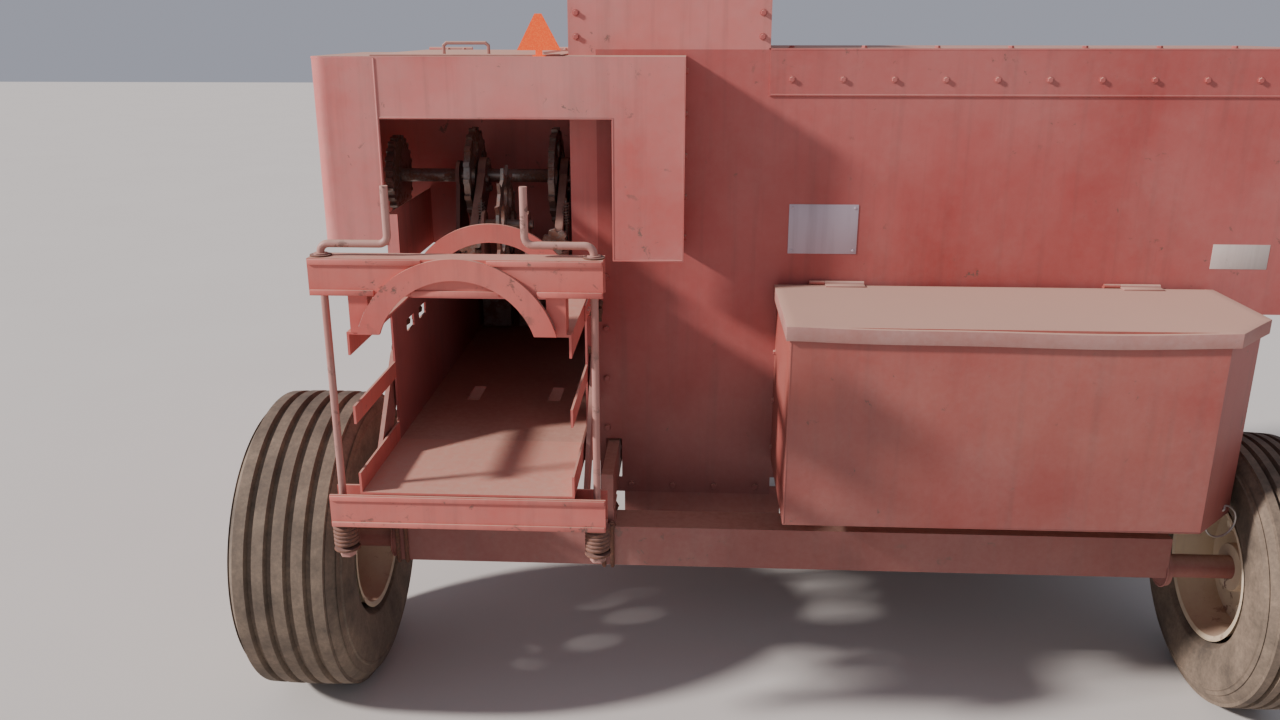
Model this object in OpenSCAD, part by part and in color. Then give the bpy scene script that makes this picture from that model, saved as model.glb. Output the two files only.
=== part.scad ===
// Towed small square baler, seen from behind: +X right, +Y forward to the hitch, +Z up, millimetres.
// The working sizes are taken from the centre line of the bale chamber (X), the rear face of the
// tension bar (Y) and the ground (Z). The last lines move the whole machine to its ground centre.

/* [Bale chamber] */
// Inside width of the bale chamber
chamber_w = 457; // [440:1:480]
// Inside height of the bale chamber
chamber_h = 356; // [340:1:380]
// Height of the chamber floor above the ground
floor_z = 720; // [700:5:740]
// Thickness of the chamber and housing plates
plate_t = 5; // [4:0.5:6]
// Rear end of the closed chamber walls
case_rear_y = 320; // [310:5:330]
// Front end of the closed chamber walls
case_front_y = 1500; // [1440:10:1560]
// Rear edge of the feed opening
feed_rear_y = 690; // [680:5:720]
// Length of the feed opening
feed_len = 520; // [480:10:560]

/* [Tension bars] */
// Width of the tension bars across the chamber
bar_w = 600; // [580:5:620]
// Depth of each tension bar along the machine
bar_d = 60; // [50:2:66]
// Height of the upper tension bar
bar_h = 77; // [70:1:84]
// Height of the upper bar's lower edge above the chamber
bar_lift = 79; // [70:1:90]
// Sheet of the tension bars
bar_t = 6; // [5:0.5:8]
// Distance of each tension screw from the centre line
screw_x = 280; // [270:1:285]
// Radius of the tension screw and its handle
screw_r = 8; // [7:0.5:10]
// Reach of each screw handle towards the centre
handle_reach = 140; // [120:5:160]
// Height of each upright hand grip
grip_h = 118; // [90:2:140]
// Length of each pressure spring below the lower bar
spring_len = 66; // [50:2:80]

/* [Hoops] */
// Thickness of the hoops over the bale
bow_t = 10; // [8:1:12]

/* [Plunger and gearbox] */
// Throw of the crank, half of the plunger stroke
crank_r = 381; // [360:1:390]
// Length of the connecting rod between its pins
rod_len = 900; // [880:5:940]
// Crank angle at which the machine is parked
crank_angle = 35; // [20:1:50]
// Rear dead centre of the plunger face
plunger_rear_y = 600; // [590:5:620]
// Length of the plunger
plunger_len = 560; // [520:10:600]
// Distance from the centre line to the gearbox's input shaft, on the left
gear_x = 143; // [135:1:150]
// Radius of the flywheel
flywheel_r = 330; // [300:5:340]
// Width of the flywheel rim
flywheel_w = 90; // [70:5:100]

/* [Feeder housing] */
// Distance of the housing's rear wall from the tension bar
wall_y = 630; // [626:1:640]
// Right end of the housing, from the chamber's centre line
wall_right = 2000; // [1960:5:2040]
// Height of the housing roof
roof_z = 1630; // [1600:5:1660]
// Lower edge of the roof's rear flange
flange_z = 1520; // [1500:5:1550]
// Sheet of the housing
sheet = 3; // [2:0.5:4]
// Left side of the feeder tower
tower_left = 166; // [162:1:176]
// Right side of the feeder tower
tower_right = 661; // [620:5:700]
// Height of the feeder tower
tower_z = 1850; // [1800:5:1900]
// Front face of the feeder tower and of the roof's lip
tower_front_y = 1500; // [1450:10:1540]
// Height of the wheel arch
arch_z = 980; // [940:5:1000]

/* [Twine box] */
// Left end of the twine box
box_left = 700; // [680:5:760]
// Right end of the twine box
box_right = 1786; // [1740:2:1788]
// Rear face of the twine box
box_rear_y = 220; // [200:5:260]
// Floor of the twine box
box_floor_z = 560; // [540:5:600]
// Rim of the twine box
box_rim_z = 1045; // [1020:5:1060]
// Size of the box's cut rear corner
box_corner = 122; // [90:2:140]

/* [Knotter hood] */
// Left side of the hood's shield
hood_left = 445; // [430:5:460]
// Right side of the hood
hood_right = 456; // [440:2:470]
// Half width of the opening in the hood
hood_open = 282; // [270:2:290]
// Rear face of the hood
hood_rear_y = 505; // [495:5:515]
// Height of the hood
hood_z = 1616; // [1600:2:1630]
// Height of the opening in the hood
hood_open_z = 1472; // [1450:2:1490]
// Lower edge of the hood's right leg
hood_foot_z = 1128; // [1110:2:1150]
// Front end of the hood
hood_front_y = 960; // [940:5:980]

/* [Needles and knotters] */
// Distance of each twine from the centre line
twine_x = 110; // [105:1:115]
// Radius of the needles' arc
needle_r = 340; // [330:1:350]
// Distance of the needle pivot from the tension bar
yoke_y = 373; // [370:1:380]
// Knotter shaft, distance from the tension bar
knotter_y = 790; // [780:2:800]
// Knotter shaft, height
knotter_z = 1300; // [1290:2:1320]
// Radius of the knotter shaft
knotter_r = 17.5; // [15:0.5:20]
// Radius of the bale measuring wheel
star_r = 150; // [140:2:160]

/* [Wheels and axle] */
// Distance of the axle from the tension bar
axle_y = 460; // [450:5:470]
// Lower face of the axle beam
axle_low_z = 340; // [330:5:350]
// Upper face of the axle beam
axle_top_z = 450; // [440:5:460]
// Width of the axle beam
axle_d = 100; // [80:5:110]
// Radius of the left tyre
left_r = 385; // [370:5:395]
// Width of the left tyre
left_w = 280; // [250:5:280]
// Inner side of the left tyre
left_in = 335; // [335:5:350]
// Radius of the right tyre
right_r = 350; // [340:5:360]
// Width of the right tyre
right_w = 190; // [180:5:194]
// Gap between the twine box and the right tyre
wheel_gap = 16; // [16:1:20]
// Radius of the wheel rims
rim_r = 190; // [180:5:200]

/* [Pickup] */
// Left side plate of the pickup
pickup_left = 294; // [290:1:298]
// Distance from the right side plate to the housing's right end
pickup_inset = 94; // [90:2:110]
// Reel, distance from the tension bar
reel_y = 1560; // [1550:5:1580]
// Reel, height
reel_z = 370; // [365:5:380]
// Radius of the tine tips
tine_r = 260; // [250:2:265]
// Thickness of a tine
tine_t = 6; // [5:0.5:8]
// Number of tine bars
tine_bars = 5; // [4:1:6]
// Number of tines on one bar
tine_count = 24; // [20:1:26]
// Gap between two stripper bands
band_gap = 20; // [18:1:24]
// Radius of the stripper bands
band_r = 180; // [170:2:185]
// Lift pivot, distance from the tension bar
lift_y = 1235; // [1230:1:1240]
// Lift pivot, height
lift_z = 640; // [630:2:650]
// Radius of the gauge wheel
gauge_r = 190; // [180:2:195]
// Width of the gauge wheel
gauge_w = 65; // [55:1:70]

/* [Tongue] */
// Tongue pivot, distance from the tension bar
pivot_y = 3090; // [3080:5:3110]
// Centre height of the tongue
tongue_z = 480; // [470:2:490]
// Distance of the hitch hole from the tension bar
hitch_y = 4700; // [4600:10:4800]
// Width of the tongue
tongue_w = 100; // [90:2:110]
// Height of the tongue
tongue_h = 120; // [110:2:130]
// Radius of the hitch pin's hole
hitch_r = 16; // [14:0.5:18]
// Radius of the power shaft's bore
pto_r = 17.5; // [16:0.5:19]
// Distance of the jack from the side of the tongue
jack_off = 100; // [96:2:120]
// Distance of the jack from the tension bar
jack_y = 4250; // [4150:10:4350]

/* [Hidden] */
$fn = 48;

// Running clearances
fit = 0.05;
seat = 0.3;
e = 1;

// Chamber
in_x = chamber_w / 2;
out_x = in_x + plate_t;
top_z = floor_z + chamber_h;
roof_case_z = top_z + plate_t;
under_z = floor_z - plate_t;
mid_z = floor_z + chamber_h / 2;
feed_front_y = feed_rear_y + feed_len;
bar_low_z = roof_case_z + bar_lift;
bar_top_z = bar_low_z + bar_h;

// Pickup
plate6 = 6;
pickup_w = wall_right - pickup_inset - pickup_left - 2 * plate6;

// Plunger gear
pin_back = 420;
crank_y = plunger_rear_y + pin_back + rod_len + crank_r;
crank_z = mid_z;
rod_drop = asin(crank_r * sin(crank_angle) / rod_len);
crank_pin_y = crank_y + crank_r * cos(crank_angle);
crank_pin_z = crank_z + crank_r * sin(crank_angle);
plunger_pin_y = crank_pin_y - rod_len * cos(rod_drop);
plunger_y = plunger_pin_y - pin_back;
belly_r = crank_r + 69;
bulkhead_y = crank_y + belly_r;
shield_r = flywheel_r + 20;
flywheel_y = bulkhead_y + 99;

// The right wheel and its arch follow the twine box
right_in = box_right + wheel_gap;
arch_x = box_right + 4;

// Frame origin at the middle of the machine on the ground
x_low = -left_in - left_w;
x_high = max(wall_right, right_in + right_w);
hitch_end_y = hitch_y + 40;
origin_x = (x_low + x_high) / 2;
origin_y = (hitch_end_y - bow_t) / 2;

// Shared helpers
module along_x(x0, x1) translate([x0, 0, 0]) rotate([90, 0, 90]) linear_extrude(x1 - x0) children();
module along_y(y0, y1) translate([0, y1, 0]) rotate([90, 0, 0]) linear_extrude(y1 - y0) children();
module along_z(z0, z1) translate([0, 0, z0]) linear_extrude(z1 - z0) children();
module block(x0, x1, y0, y1, z0, z1) translate([x0, y0, z0]) cube([x1 - x0, y1 - y0, z1 - z0]);
module rod_x(y, z, r, x0, x1) translate([x0, y, z]) rotate([0, 90, 0]) cylinder(r = r, h = x1 - x0);
module rod_y(x, z, r, y0, y1) translate([x, y0, z]) rotate([-90, 0, 0]) cylinder(r = r, h = y1 - y0);
module rod_z(x, y, r, z0, z1) translate([x, y, z0]) cylinder(r = r, h = z1 - z0);
module both() { children(); mirror([1, 0, 0]) children(); }
module place() translate([-origin_x, -origin_y, 0]) children();

// A bent sheet: an open line of points, thickened to its left by t
function unit(v) = v / norm(v);
function left_of(a, b) = let (d = unit(b - a)) [-d[1], d[0]];
function corner_shift(p, i) = i == 0 ? left_of(p[0], p[1])
    : i == len(p) - 1 ? left_of(p[i - 1], p[i])
    : let (m = left_of(p[i - 1], p[i]), n = left_of(p[i], p[i + 1])) (m + n) / (1 + m * n);
function inner_line(p, t) = [for (i = [0 : len(p) - 1]) p[i] + t * corner_shift(p, i)];
function backwards(p) = [for (i = [len(p) - 1 : -1 : 0]) p[i]];
module sheet_line(p, t) polygon(concat(p, backwards(inner_line(p, t))));
// A flat bar with round ends between two points
module link(a, b, ra, rb) {
    translate(a) circle(r = ra);
    translate(b) circle(r = rb);
    w = left_of(a, b);
    polygon([a + w * ra, a - w * ra, b - w * rb, b + w * rb]);
}
// A wedge-shaped mask from angle a0 to a1, both within one turn
module wedge(r, a0, a1) {
    steps = ceil((a1 - a0) / 40);
    polygon(concat([[0, 0]], [for (i = [0 : steps])
        let (a = a0 + (a1 - a0) * i / steps) 1.2 * r * [cos(a), sin(a)]]));
}
module arc_band(r0, r1, a0, a1) intersection() {
    difference() { circle(r = r1, $fn = 96); circle(r = r0, $fn = 96); }
    wedge(r1, a0, a1);
}
module frame_rect(x0, x1, y0, y1, t) difference() {
    translate([x0, y0]) square([x1 - x0, y1 - y0]);
    translate([x0 + t, y0 + t]) square([x1 - x0 - 2 * t, y1 - y0 - 2 * t]);
}

// Bale chamber
needle_slot_w = 34;
star_slot_w = 24;
rib_h = 28;
module bale_case() color("#a3402f") difference() {
    union() {
        along_y(case_rear_y, case_front_y) frame_rect(-out_x, out_x, under_z, roof_case_z, plate_t);
        for (y = [case_rear_y + 20, case_front_y - 40])
            along_y(y, y + 10) difference() {
                translate([-out_x, under_z - rib_h])
                    square([2 * out_x, roof_case_z - under_z + rib_h]);
                translate([-in_x, floor_z]) square([chamber_w, chamber_h]);
            }
        both() rod_x(yoke_y, mid_z, 20, out_x - e, out_x + 20);
    }
    block(in_x - e, out_x + e, feed_rear_y, feed_front_y, floor_z, top_z);
    for (s = [-1, 1])
        translate([s * twine_x - needle_slot_w / 2, case_rear_y + 290, under_z - rib_h - e])
            cube([needle_slot_w, 110, roof_case_z]);
    translate([-star_slot_w / 2, case_rear_y + 150, top_z - e]) cube([star_slot_w, 270, plate_t + 2 * e]);
    for (y = [440, 560])
        translate([-out_x - e, y, mid_z + 60]) cube([plate_t + 2 * e, 70, 30]);
}

rail_leg = 50;
rail_end_y = 8;
module chamber_rails() color("#9c3b2c") {
    both() along_y(rail_end_y, case_rear_y) sheet_line([[out_x - rail_leg, roof_case_z], [out_x, roof_case_z],
        [out_x, roof_case_z - rail_leg]], -plate_t);
    along_y(rail_end_y, case_rear_y) sheet_line([[-out_x, under_z + rail_leg], [-out_x, under_z],
        [out_x, under_z], [out_x, under_z + rail_leg]], plate_t);
    both() along_y(rail_end_y, case_rear_y) translate([in_x, mid_z - 20]) square([plate_t, 40]);
}

// Hoops over the chamber: upright arched plates, one against the bar and one on the case
bow_span = 410;
bow_rise = 159;
bow_depth = 44;
bow_front_y = 385;
bow_r = (pow(bow_span / 2, 2) + pow(bow_rise, 2)) / (2 * bow_rise);
module chamber_bows() color("#b5472f") for (y = [-bow_t, bow_front_y]) along_y(y, y + bow_t) difference() {
    translate([0, roof_case_z + bow_rise - bow_r]) difference() {
        circle(r = bow_r, $fn = 96);
        circle(r = bow_r - bow_depth, $fn = 96);
    }
    translate([-bow_r - e, roof_case_z - 2 * bow_r]) square([2 * bow_r + 2 * e, 2 * bow_r]);
}

// Tension bars, their feet, screws and springs
lower_bar_h = 75;
lower_bar_z = under_z - lower_bar_h;
foot_in = out_x - rail_leg;
foot_w = 40;
module screw_holes() both() rod_z(screw_x, bar_d / 2, screw_r + seat, 0, 2000);
module tension_bars() color("#b04a3a") difference() {
    union() {
        along_x(-bar_w / 2, bar_w / 2)
            sheet_line([[0, bar_low_z], [0, bar_top_z], [bar_d, bar_top_z], [bar_d, bar_low_z]], -bar_t);
        along_x(-bar_w / 2, bar_w / 2)
            sheet_line([[0, under_z], [0, lower_bar_z], [bar_d, lower_bar_z], [bar_d, under_z]], bar_t);
        both() block(foot_in, foot_in + foot_w, bar_t, bar_d - bar_t, roof_case_z, bar_low_z + 30);
    }
    screw_holes();
}
nut_z = lower_bar_z - spring_len;
module tension_springs() color("#5a4a42") both() translate([screw_x, bar_d / 2, nut_z])
    rotate_extrude() {
        coils = 6;
        pitch = spring_len / coils;
        for (i = [0 : coils - 1]) translate([24, pitch * (i + 0.5)]) circle(d = pitch, $fn = 16);
        translate([screw_r + 3, 0]) square([13, spring_len]);
    }
bend_r = 18;
arm_z = bar_top_z + 25;
module elbow(r) rotate_extrude(angle = 90) translate([bend_r, 0]) circle(r = r);
module tension_screws() color("#7a5a48") both() {
    rod_z(screw_x, bar_d / 2, screw_r, nut_z - 20, arm_z - bend_r);
    translate([screw_x, bar_d / 2, nut_z - 16]) cylinder(r = 18, h = 16, $fn = 6);
    rod_z(screw_x, bar_d / 2, 14, bar_top_z, bar_top_z + 6);
    translate([screw_x - bend_r, bar_d / 2, arm_z - bend_r]) rotate([90, 0, 0]) elbow(screw_r);
    rod_x(bar_d / 2, arm_z, screw_r, handle_reach + bend_r, screw_x - bend_r);
    translate([handle_reach + bend_r, bar_d / 2, arm_z + bend_r]) rotate([90, 180, 0]) elbow(screw_r);
    rod_z(handle_reach, bar_d / 2, screw_r, arm_z + bend_r, arm_z + grip_h);
}

// Plunger case with its round belly over the crank
window_r = 330;
belly_rear_y = crank_y - sqrt(pow(belly_r, 2) - pow(roof_case_z - crank_z, 2));
module belly() {
    translate([case_front_y, under_z]) square([crank_y - case_front_y, roof_case_z - under_z]);
    translate([crank_y, crank_z]) circle(r = belly_r, $fn = 96);
    translate([crank_y, crank_z - shield_r]) square([belly_r, 2 * shield_r]);
}
module plunger_case() color("#96392b") {
    difference() {
        union() {
            both() along_x(in_x, out_x) difference() {
                belly();
                translate([crank_y, crank_z]) arc_band(190, window_r, 205, 335);
                translate([case_front_y + 60, crank_z - 60]) square([200, 120]);
            }
            block(-in_x, in_x, case_front_y, belly_rear_y, under_z, floor_z);
            block(-in_x, in_x, case_front_y, belly_rear_y, top_z, roof_case_z);
            along_y(bulkhead_y, bulkhead_y + 10) {
                translate([-gear_x, crank_z]) circle(r = shield_r + 6, $fn = 96);
                translate([-out_x, crank_z - shield_r]) square([2 * out_x, 2 * shield_r]);
            }
        }
        rod_y(-gear_x, crank_z, 95, bulkhead_y - e, bulkhead_y + 11);
        block(-beam_out - seat, -beam_in + seat, bulkhead_y - e, bulkhead_y + 11, 0, beam_z1 + seat);
        block(-1000, 1000, bulkhead_y - e, bulkhead_y + 11, 0, crank_z - shield_r);
        for (a = [20, 90, 160, 200, 270, 340])
            rod_y(-gear_x + 230 * cos(a), crank_z + 230 * sin(a), 45, bulkhead_y - e, bulkhead_y + 11);
    }
}
cover_gap = 0.6;
cover_front = asin(shield_r / belly_r);
cover_rear = 180 - asin((roof_case_z - crank_z) / belly_r);
module plunger_cover() color("#a3402f") along_x(-out_x, out_x) translate([crank_y, crank_z]) {
    arc_band(belly_r + cover_gap, belly_r + cover_gap + sheet, cover_front, cover_rear);
    translate([belly_r * cos(cover_front) - 2, shield_r + cover_gap])
        square([belly_r * (1 - cos(cover_front)) + 2 - seat, sheet]);
}

// Plunger head with knife, slots for the needles and rollers on the floor
roller_r = 34;
module plunger() color("#6f6a66") {
    y1 = plunger_y + plunger_len;
    side_gap = 12;
    half = in_x - side_gap;
    difference() {
        union() {
            block(-half, half, plunger_y, plunger_y + 40, floor_z + 8, top_z - 8);
            both() along_x(half - 12, half) polygon([[plunger_y, floor_z + 8], [plunger_y, top_z - 8],
                [plunger_y + 200, top_z - 8], [y1, mid_z + 60], [y1, floor_z + 40]]);
            block(-half, half, plunger_y + 260, plunger_y + 300, floor_z + 40, floor_z + 80);
            block(-half, half, y1 - 60, y1 - 20, floor_z + 60, floor_z + 100);
            both() along_x(60, 72) link([plunger_y + 110, mid_z], [plunger_pin_y, mid_z], 90, 45);
            rod_x(plunger_pin_y, mid_z, 22, -72, 72);
            block(half - e, half + 6, plunger_y, plunger_y + 80, floor_z + 20, top_z - 20);
        }
        both() block(twine_x - 14, twine_x + 14, plunger_y - e, plunger_y + 60, floor_z, top_z);
    }
    both() for (y = [plunger_y + 120, y1 - 70])
        rod_x(y, floor_z + roller_r + seat, roller_r, half - 50, half - 12);
}

// Crank arm, crank pin and connecting rod, parked together
rod_t = 44;
module plunger_drive() color("#55504c") {
    c = [crank_y, crank_z];
    pin = [crank_pin_y, crank_pin_z];
    small = [plunger_pin_y, mid_z];
    along_x(-58, -26) link(c, pin, 85, 62);
    rod_x(pin[0], pin[1], 30, -30, 30);
    difference() {
        along_x(-rod_t / 2, rod_t / 2) link(small, pin, 46, 60);
        rod_x(pin[0], pin[1], 30 + seat, -31, 31);
        rod_x(small[0], small[1], 22 + seat, -31, 31);
        for (k = [0.22, 0.5, 0.78])
            translate([14, small[0] + (pin[0] - small[0]) * k, small[1] + (pin[1] - small[1]) * k])
                rotate([0, 90, 0]) cylinder(r = 26, h = 20);
    }
}

// Main gearbox with its input housing
module gearbox() color("#7d3a2e") {
    difference() {
        union() {
            rod_x(crank_y, crank_z, 185, -in_x, -90);
            rod_x(crank_y, crank_z, 205, -in_x, -in_x + 22);
            rod_x(crank_y, crank_z, 110, -91, -70);
            rod_y(-gear_x, crank_z, 74, crank_y, bulkhead_y + 10);
            rod_y(-gear_x, crank_z, 94, bulkhead_y + seat, bulkhead_y + 12);
            for (a = [0 : 60 : 300])
                translate([-gear_x, 0, crank_z]) rotate([0, a, 0])
                    block(-5, 5, crank_y + 170, bulkhead_y + 2, 60, 84);
            rod_y(-gear_x, crank_z, 30, bulkhead_y + 10, flywheel_y + 60);
        }
        rod_z(-gear_x, crank_y, 20, crank_z + 160, crank_z + 260);
    }
    rod_x(crank_y, crank_z, 48, -70, -58);
}

// Flywheel with its slip clutch
module flywheel() color("#8a3a2a") {
    y = flywheel_y - flywheel_w / 2;
    difference() {
        union() {
            rod_y(-gear_x, crank_z, flywheel_r, y, y + flywheel_w);
            rod_y(-gear_x, crank_z, 70, y - 12, y + flywheel_w + 14);
            rod_y(-gear_x, crank_z, 112, y + flywheel_w + 14, y + flywheel_w + 44);
            rod_y(-gear_x, crank_z, 45, y + flywheel_w + 44, pivot_y - 72);
        }
        rod_y(-gear_x, crank_z, 30 + fit, y - 13, flywheel_y + 61);
        for (side = [0, 1]) translate([-gear_x, y + (side == 0 ? -e : flywheel_w / 2 + 11), crank_z])
            rotate([-90, 0, 0]) difference() {
                cylinder(r = flywheel_r - 62, h = flywheel_w / 2 - 11 + e);
                translate([0, 0, -e]) cylinder(r = 70, h = flywheel_w);
            }
        for (a = [0 : 60 : 300])
            rod_y(-gear_x + 170 * cos(a), crank_z + 170 * sin(a), 42, y, y + flywheel_w);
    }
}
module flywheel_shield() color("#a8402f") translate([-gear_x, 0, crank_z]) {
    y0 = bulkhead_y + 10;
    y1 = flywheel_y + flywheel_w / 2 + 30;
    along_y(y0, y1) arc_band(shield_r, shield_r + sheet, -20, 200);
    along_y(y1, y1 + sheet) arc_band(210, shield_r + sheet, -20, 200);
}

// Main frame: two long beams, cross plates and the tongue's bracket
beam_in = 256;
beam_w = 30;
beam_out = beam_in + beam_w;
beam_z0 = 500;
beam_z1 = 600;
bracket_gap = 96;
bracket_t = 16;
bracket_low = tongue_z - bracket_gap / 2 - bracket_t;
bracket_top = tongue_z + bracket_gap / 2 + bracket_t;
frame_front_y = bulkhead_y + 40;
plate_ys = [feed_rear_y + 35, case_front_y - 120];
plate_hole = [150, (beam_z0 + under_z) / 2, 50];
module main_frame() color("#8f3627") {
    difference() {
        union() {
            both() block(beam_in, beam_out, axle_y - 60, frame_front_y, beam_z0, beam_z1);
            for (y = plate_ys) block(-beam_in, beam_in, y, y + 8, beam_z0, under_z);
            both() block(out_x, beam_in, crank_y - 50, crank_y + 50, beam_z0, beam_z1);
            block(-beam_out, beam_out, bulkhead_y + 10, frame_front_y, tongue_z - 62, tongue_z + 64);
            for (z = [bracket_low, bracket_top - bracket_t])
                along_z(z, z + bracket_t) link([-gear_x, frame_front_y - 20], [-gear_x, pivot_y], 130, 62);
        }
        both() for (y = plate_ys) rod_y(plate_hole[0], plate_hole[1], plate_hole[2], y - e, y + 9);
        rod_z(-gear_x, pivot_y, 24 + fit, tongue_z - 100, tongue_z + 100);
    }
    rod_z(-gear_x, pivot_y, 24, bracket_low - 12, bracket_top);
    rod_z(-gear_x, pivot_y, 34, bracket_top, bracket_top + 8);
}

// Axle beam, its seats below the frame and the right strut to the housing wall
spindle_r = 30;
module axle() color("#7f3326") {
    beam_end = right_in - 102;
    block(-beam_out, beam_end, axle_y - axle_d / 2, axle_y + axle_d / 2, axle_low_z, axle_top_z);
    both() block(beam_in, beam_out, axle_y - 40, axle_y + 40, axle_top_z, beam_z0);
    rod_x(axle_y, left_r, spindle_r, -left_in - left_w / 2 - 60, -beam_out);
    rod_x(axle_y, right_r, spindle_r, beam_end, right_in + right_w / 2 + 60);
    rod_x(axle_y, left_r, 52, -beam_out - 14, -beam_out);
    rod_x(axle_y, right_r, 52, beam_end, beam_end + 14);
    along_x(beam_end - 120, beam_end - 108) polygon([[axle_y + axle_d / 2 - e, axle_low_z + 5],
        [axle_y + axle_d / 2 - e, axle_top_z - 5], [wall_y, box_floor_z - 8], [wall_y, box_floor_z - 58]]);
}

// Wheels
module tyre(r, w) rotate([0, 90, 0]) rotate_extrude($fn = 96) difference() {
    union() {
        translate([rim_r, -w / 2 + 30]) square([r - rim_r - 8, w - 60]);
        translate([rim_r, -w / 2]) square([r - rim_r - 45, w]);
        for (s = [-1, 1]) translate([r - 45, s * (w / 2 - 37)]) circle(r = 37);
        for (s = [-1, 0, 1]) translate([r - 20, s * (w / 2 - 45) - 14]) square([20, 28]);
    }
    translate([rim_r - e, -w]) square([e, 2 * w]);
}
module rim(w, side) rotate([0, 90, 0]) difference() {
    union() {
        rotate_extrude($fn = 96) {
            translate([rim_r - 8, -w / 2 + 20]) square([8, w - 40]);
            for (s = [-1, 1]) translate([rim_r - 14, s * (w / 2 - 22) - 4]) square([14, 8]);
            translate([50, side * (w / 2 - 70) - 4]) square([rim_r - 56, 8]);
        }
        translate([0, 0, side * (w / 2 - 70) - 45]) cylinder(r = 62, h = 90);
        translate([0, 0, side * (w / 2 - 25) - (side > 0 ? 0 : 22)]) cylinder(r = 40, h = 22);
    }
    translate([0, 0, -w]) cylinder(r = spindle_r + fit, h = 2 * w);
    for (a = [0 : 60 : 300]) translate([125 * cos(a), 125 * sin(a), -w]) cylinder(r = 22, h = 2 * w);
}
left_mid = -left_in - left_w / 2;
right_mid = right_in + right_w / 2;
module left_rim() color("#cfc4a8") translate([left_mid, axle_y, left_r]) rim(left_w, -1);
module left_tyre() color("#3a3634") translate([left_mid, axle_y, left_r]) tyre(left_r, left_w);
module right_rim() color("#cfc4a8") translate([right_mid, axle_y, right_r]) rim(right_w, 1);
module right_tyre() color("#3a3634") translate([right_mid, axle_y, right_r]) tyre(right_r, right_w);

// Feeder housing
slope_y = 1100;
lip_z = 1130;
slope_z = 1233;
arch_y = 860;
wall_low_z = 450;
side_foot_y = 1180;
wall_in_y = wall_y + sheet;
roof_line = [[wall_y - sheet, flange_z], [wall_y - sheet, roof_z + sheet], [slope_y, roof_z + sheet],
    [tower_front_y, slope_z], [tower_front_y, lip_z]];
roof_under = inner_line(roof_line, -sheet);
module feeder_wall() color("#a8453a") {
    along_y(wall_y, wall_in_y) difference() {
        polygon([[out_x, wall_low_z], [box_left, wall_low_z], [box_left, box_floor_z - 60],
            [arch_x, box_floor_z - 60], [arch_x, arch_z], [wall_right, arch_z], [wall_right, roof_z],
            [out_x, roof_z]]);
        translate([beam_in - 7, beam_z0 - 7]) square([beam_w + 14, beam_z1 - beam_z0 + 14]);
    }
    along_x(wall_right - sheet, wall_right) polygon([[wall_in_y, arch_z], [arch_y - sheet, arch_z],
        [arch_y - sheet, floor_z - 80], [side_foot_y, floor_z - 80], [roof_under[4][0], lip_z], roof_under[3],
        roof_under[2], [wall_in_y, roof_z]]);
    block(arch_x, wall_right - sheet, arch_y - sheet, arch_y, floor_z - 80, arch_z);
    block(arch_x - sheet, wall_right - sheet, wall_in_y, arch_y, arch_z, arch_z + sheet);
    block(arch_x - sheet, arch_x, wall_in_y, arch_y, box_floor_z - 60, arch_z);
}
rib_up = 20;
module feeder_roof() color("#a8453a") {
    along_x(tower_right, wall_right) sheet_line(roof_line, -sheet);
    rib_line = [[slope_y + 40, roof_z - 40 + rib_up], [tower_front_y - 30, slope_z + 30 + rib_up]];
    for (x = [tower_right + 300, tower_right + 700, tower_right + 1100])
        along_x(x, x + 30) sheet_line(rib_line, -rib_up - 2);
}
module feeder_deck() color("#8a5140") {
    difference() {
        along_x(out_x, wall_right - sheet)
            sheet_line([[wall_in_y, floor_z], [lift_y - 10, floor_z], [lift_y - 10, floor_z - 40]], -plate_t);
        block(arch_x - sheet, wall_right, wall_y, arch_y, 0, floor_z + e);
    }
    for (x = [500, 1050, 1600])
        along_x(x, x + 40) difference() {
            translate([wall_in_y, floor_z - plate_t - 50]) square([lift_y - 60 - wall_in_y, 50]);
            translate([wall_in_y + 20, floor_z - plate_t - 45]) square([lift_y - 100 - wall_in_y, 36]);
        }
    for (x = [pickup_left + 10, pickup_left + pickup_w - 8])
        difference() {
            along_x(x, x + 10) difference() {
                union() {
                    translate([lift_y, lift_z]) circle(r = 30);
                    translate([lift_y - 90, lift_z]) square([75, floor_z - plate_t - lift_z]);
                    translate([lift_y - 90, lift_z - 30]) square([90, 45]);
                }
            }
            rod_x(lift_y, lift_z, 15 + fit, x - e, x + 11);
        }
}
module tower_shell(inset) block(tower_left + inset, tower_right - inset, wall_y + inset,
    tower_front_y - inset, roof_case_z - (inset > 0 ? 5 : 0), tower_z - inset);
module feeder_tower() color("#a8453a") difference() {
    tower_shell(0);
    tower_shell(sheet);
    block(out_x, tower_right + e, wall_y - e, wall_in_y + e / 2, roof_case_z - e, roof_z);
    block(tower_left - e, tower_right + e, tower_front_y - 2 * sheet, tower_front_y + e,
        roof_case_z - 10, lip_z);
    along_x(tower_right - sheet - e / 2, tower_right + e) polygon([[wall_y - e, 0],
        [wall_y - e, roof_z + sheet], [slope_y, roof_z + sheet], [tower_front_y + e, slope_z - 1],
        [tower_front_y + e, 0]]);
}
rail_s = 60;
rail_y = 900;
feeder_rail_z = 1330;
rail_top_z = feeder_rail_z + rail_s;
module feeder_rail() color("#77706a")
    block(tower_left + sheet, wall_right - sheet, rail_y, rail_y + rail_s, feeder_rail_z, rail_top_z);

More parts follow.
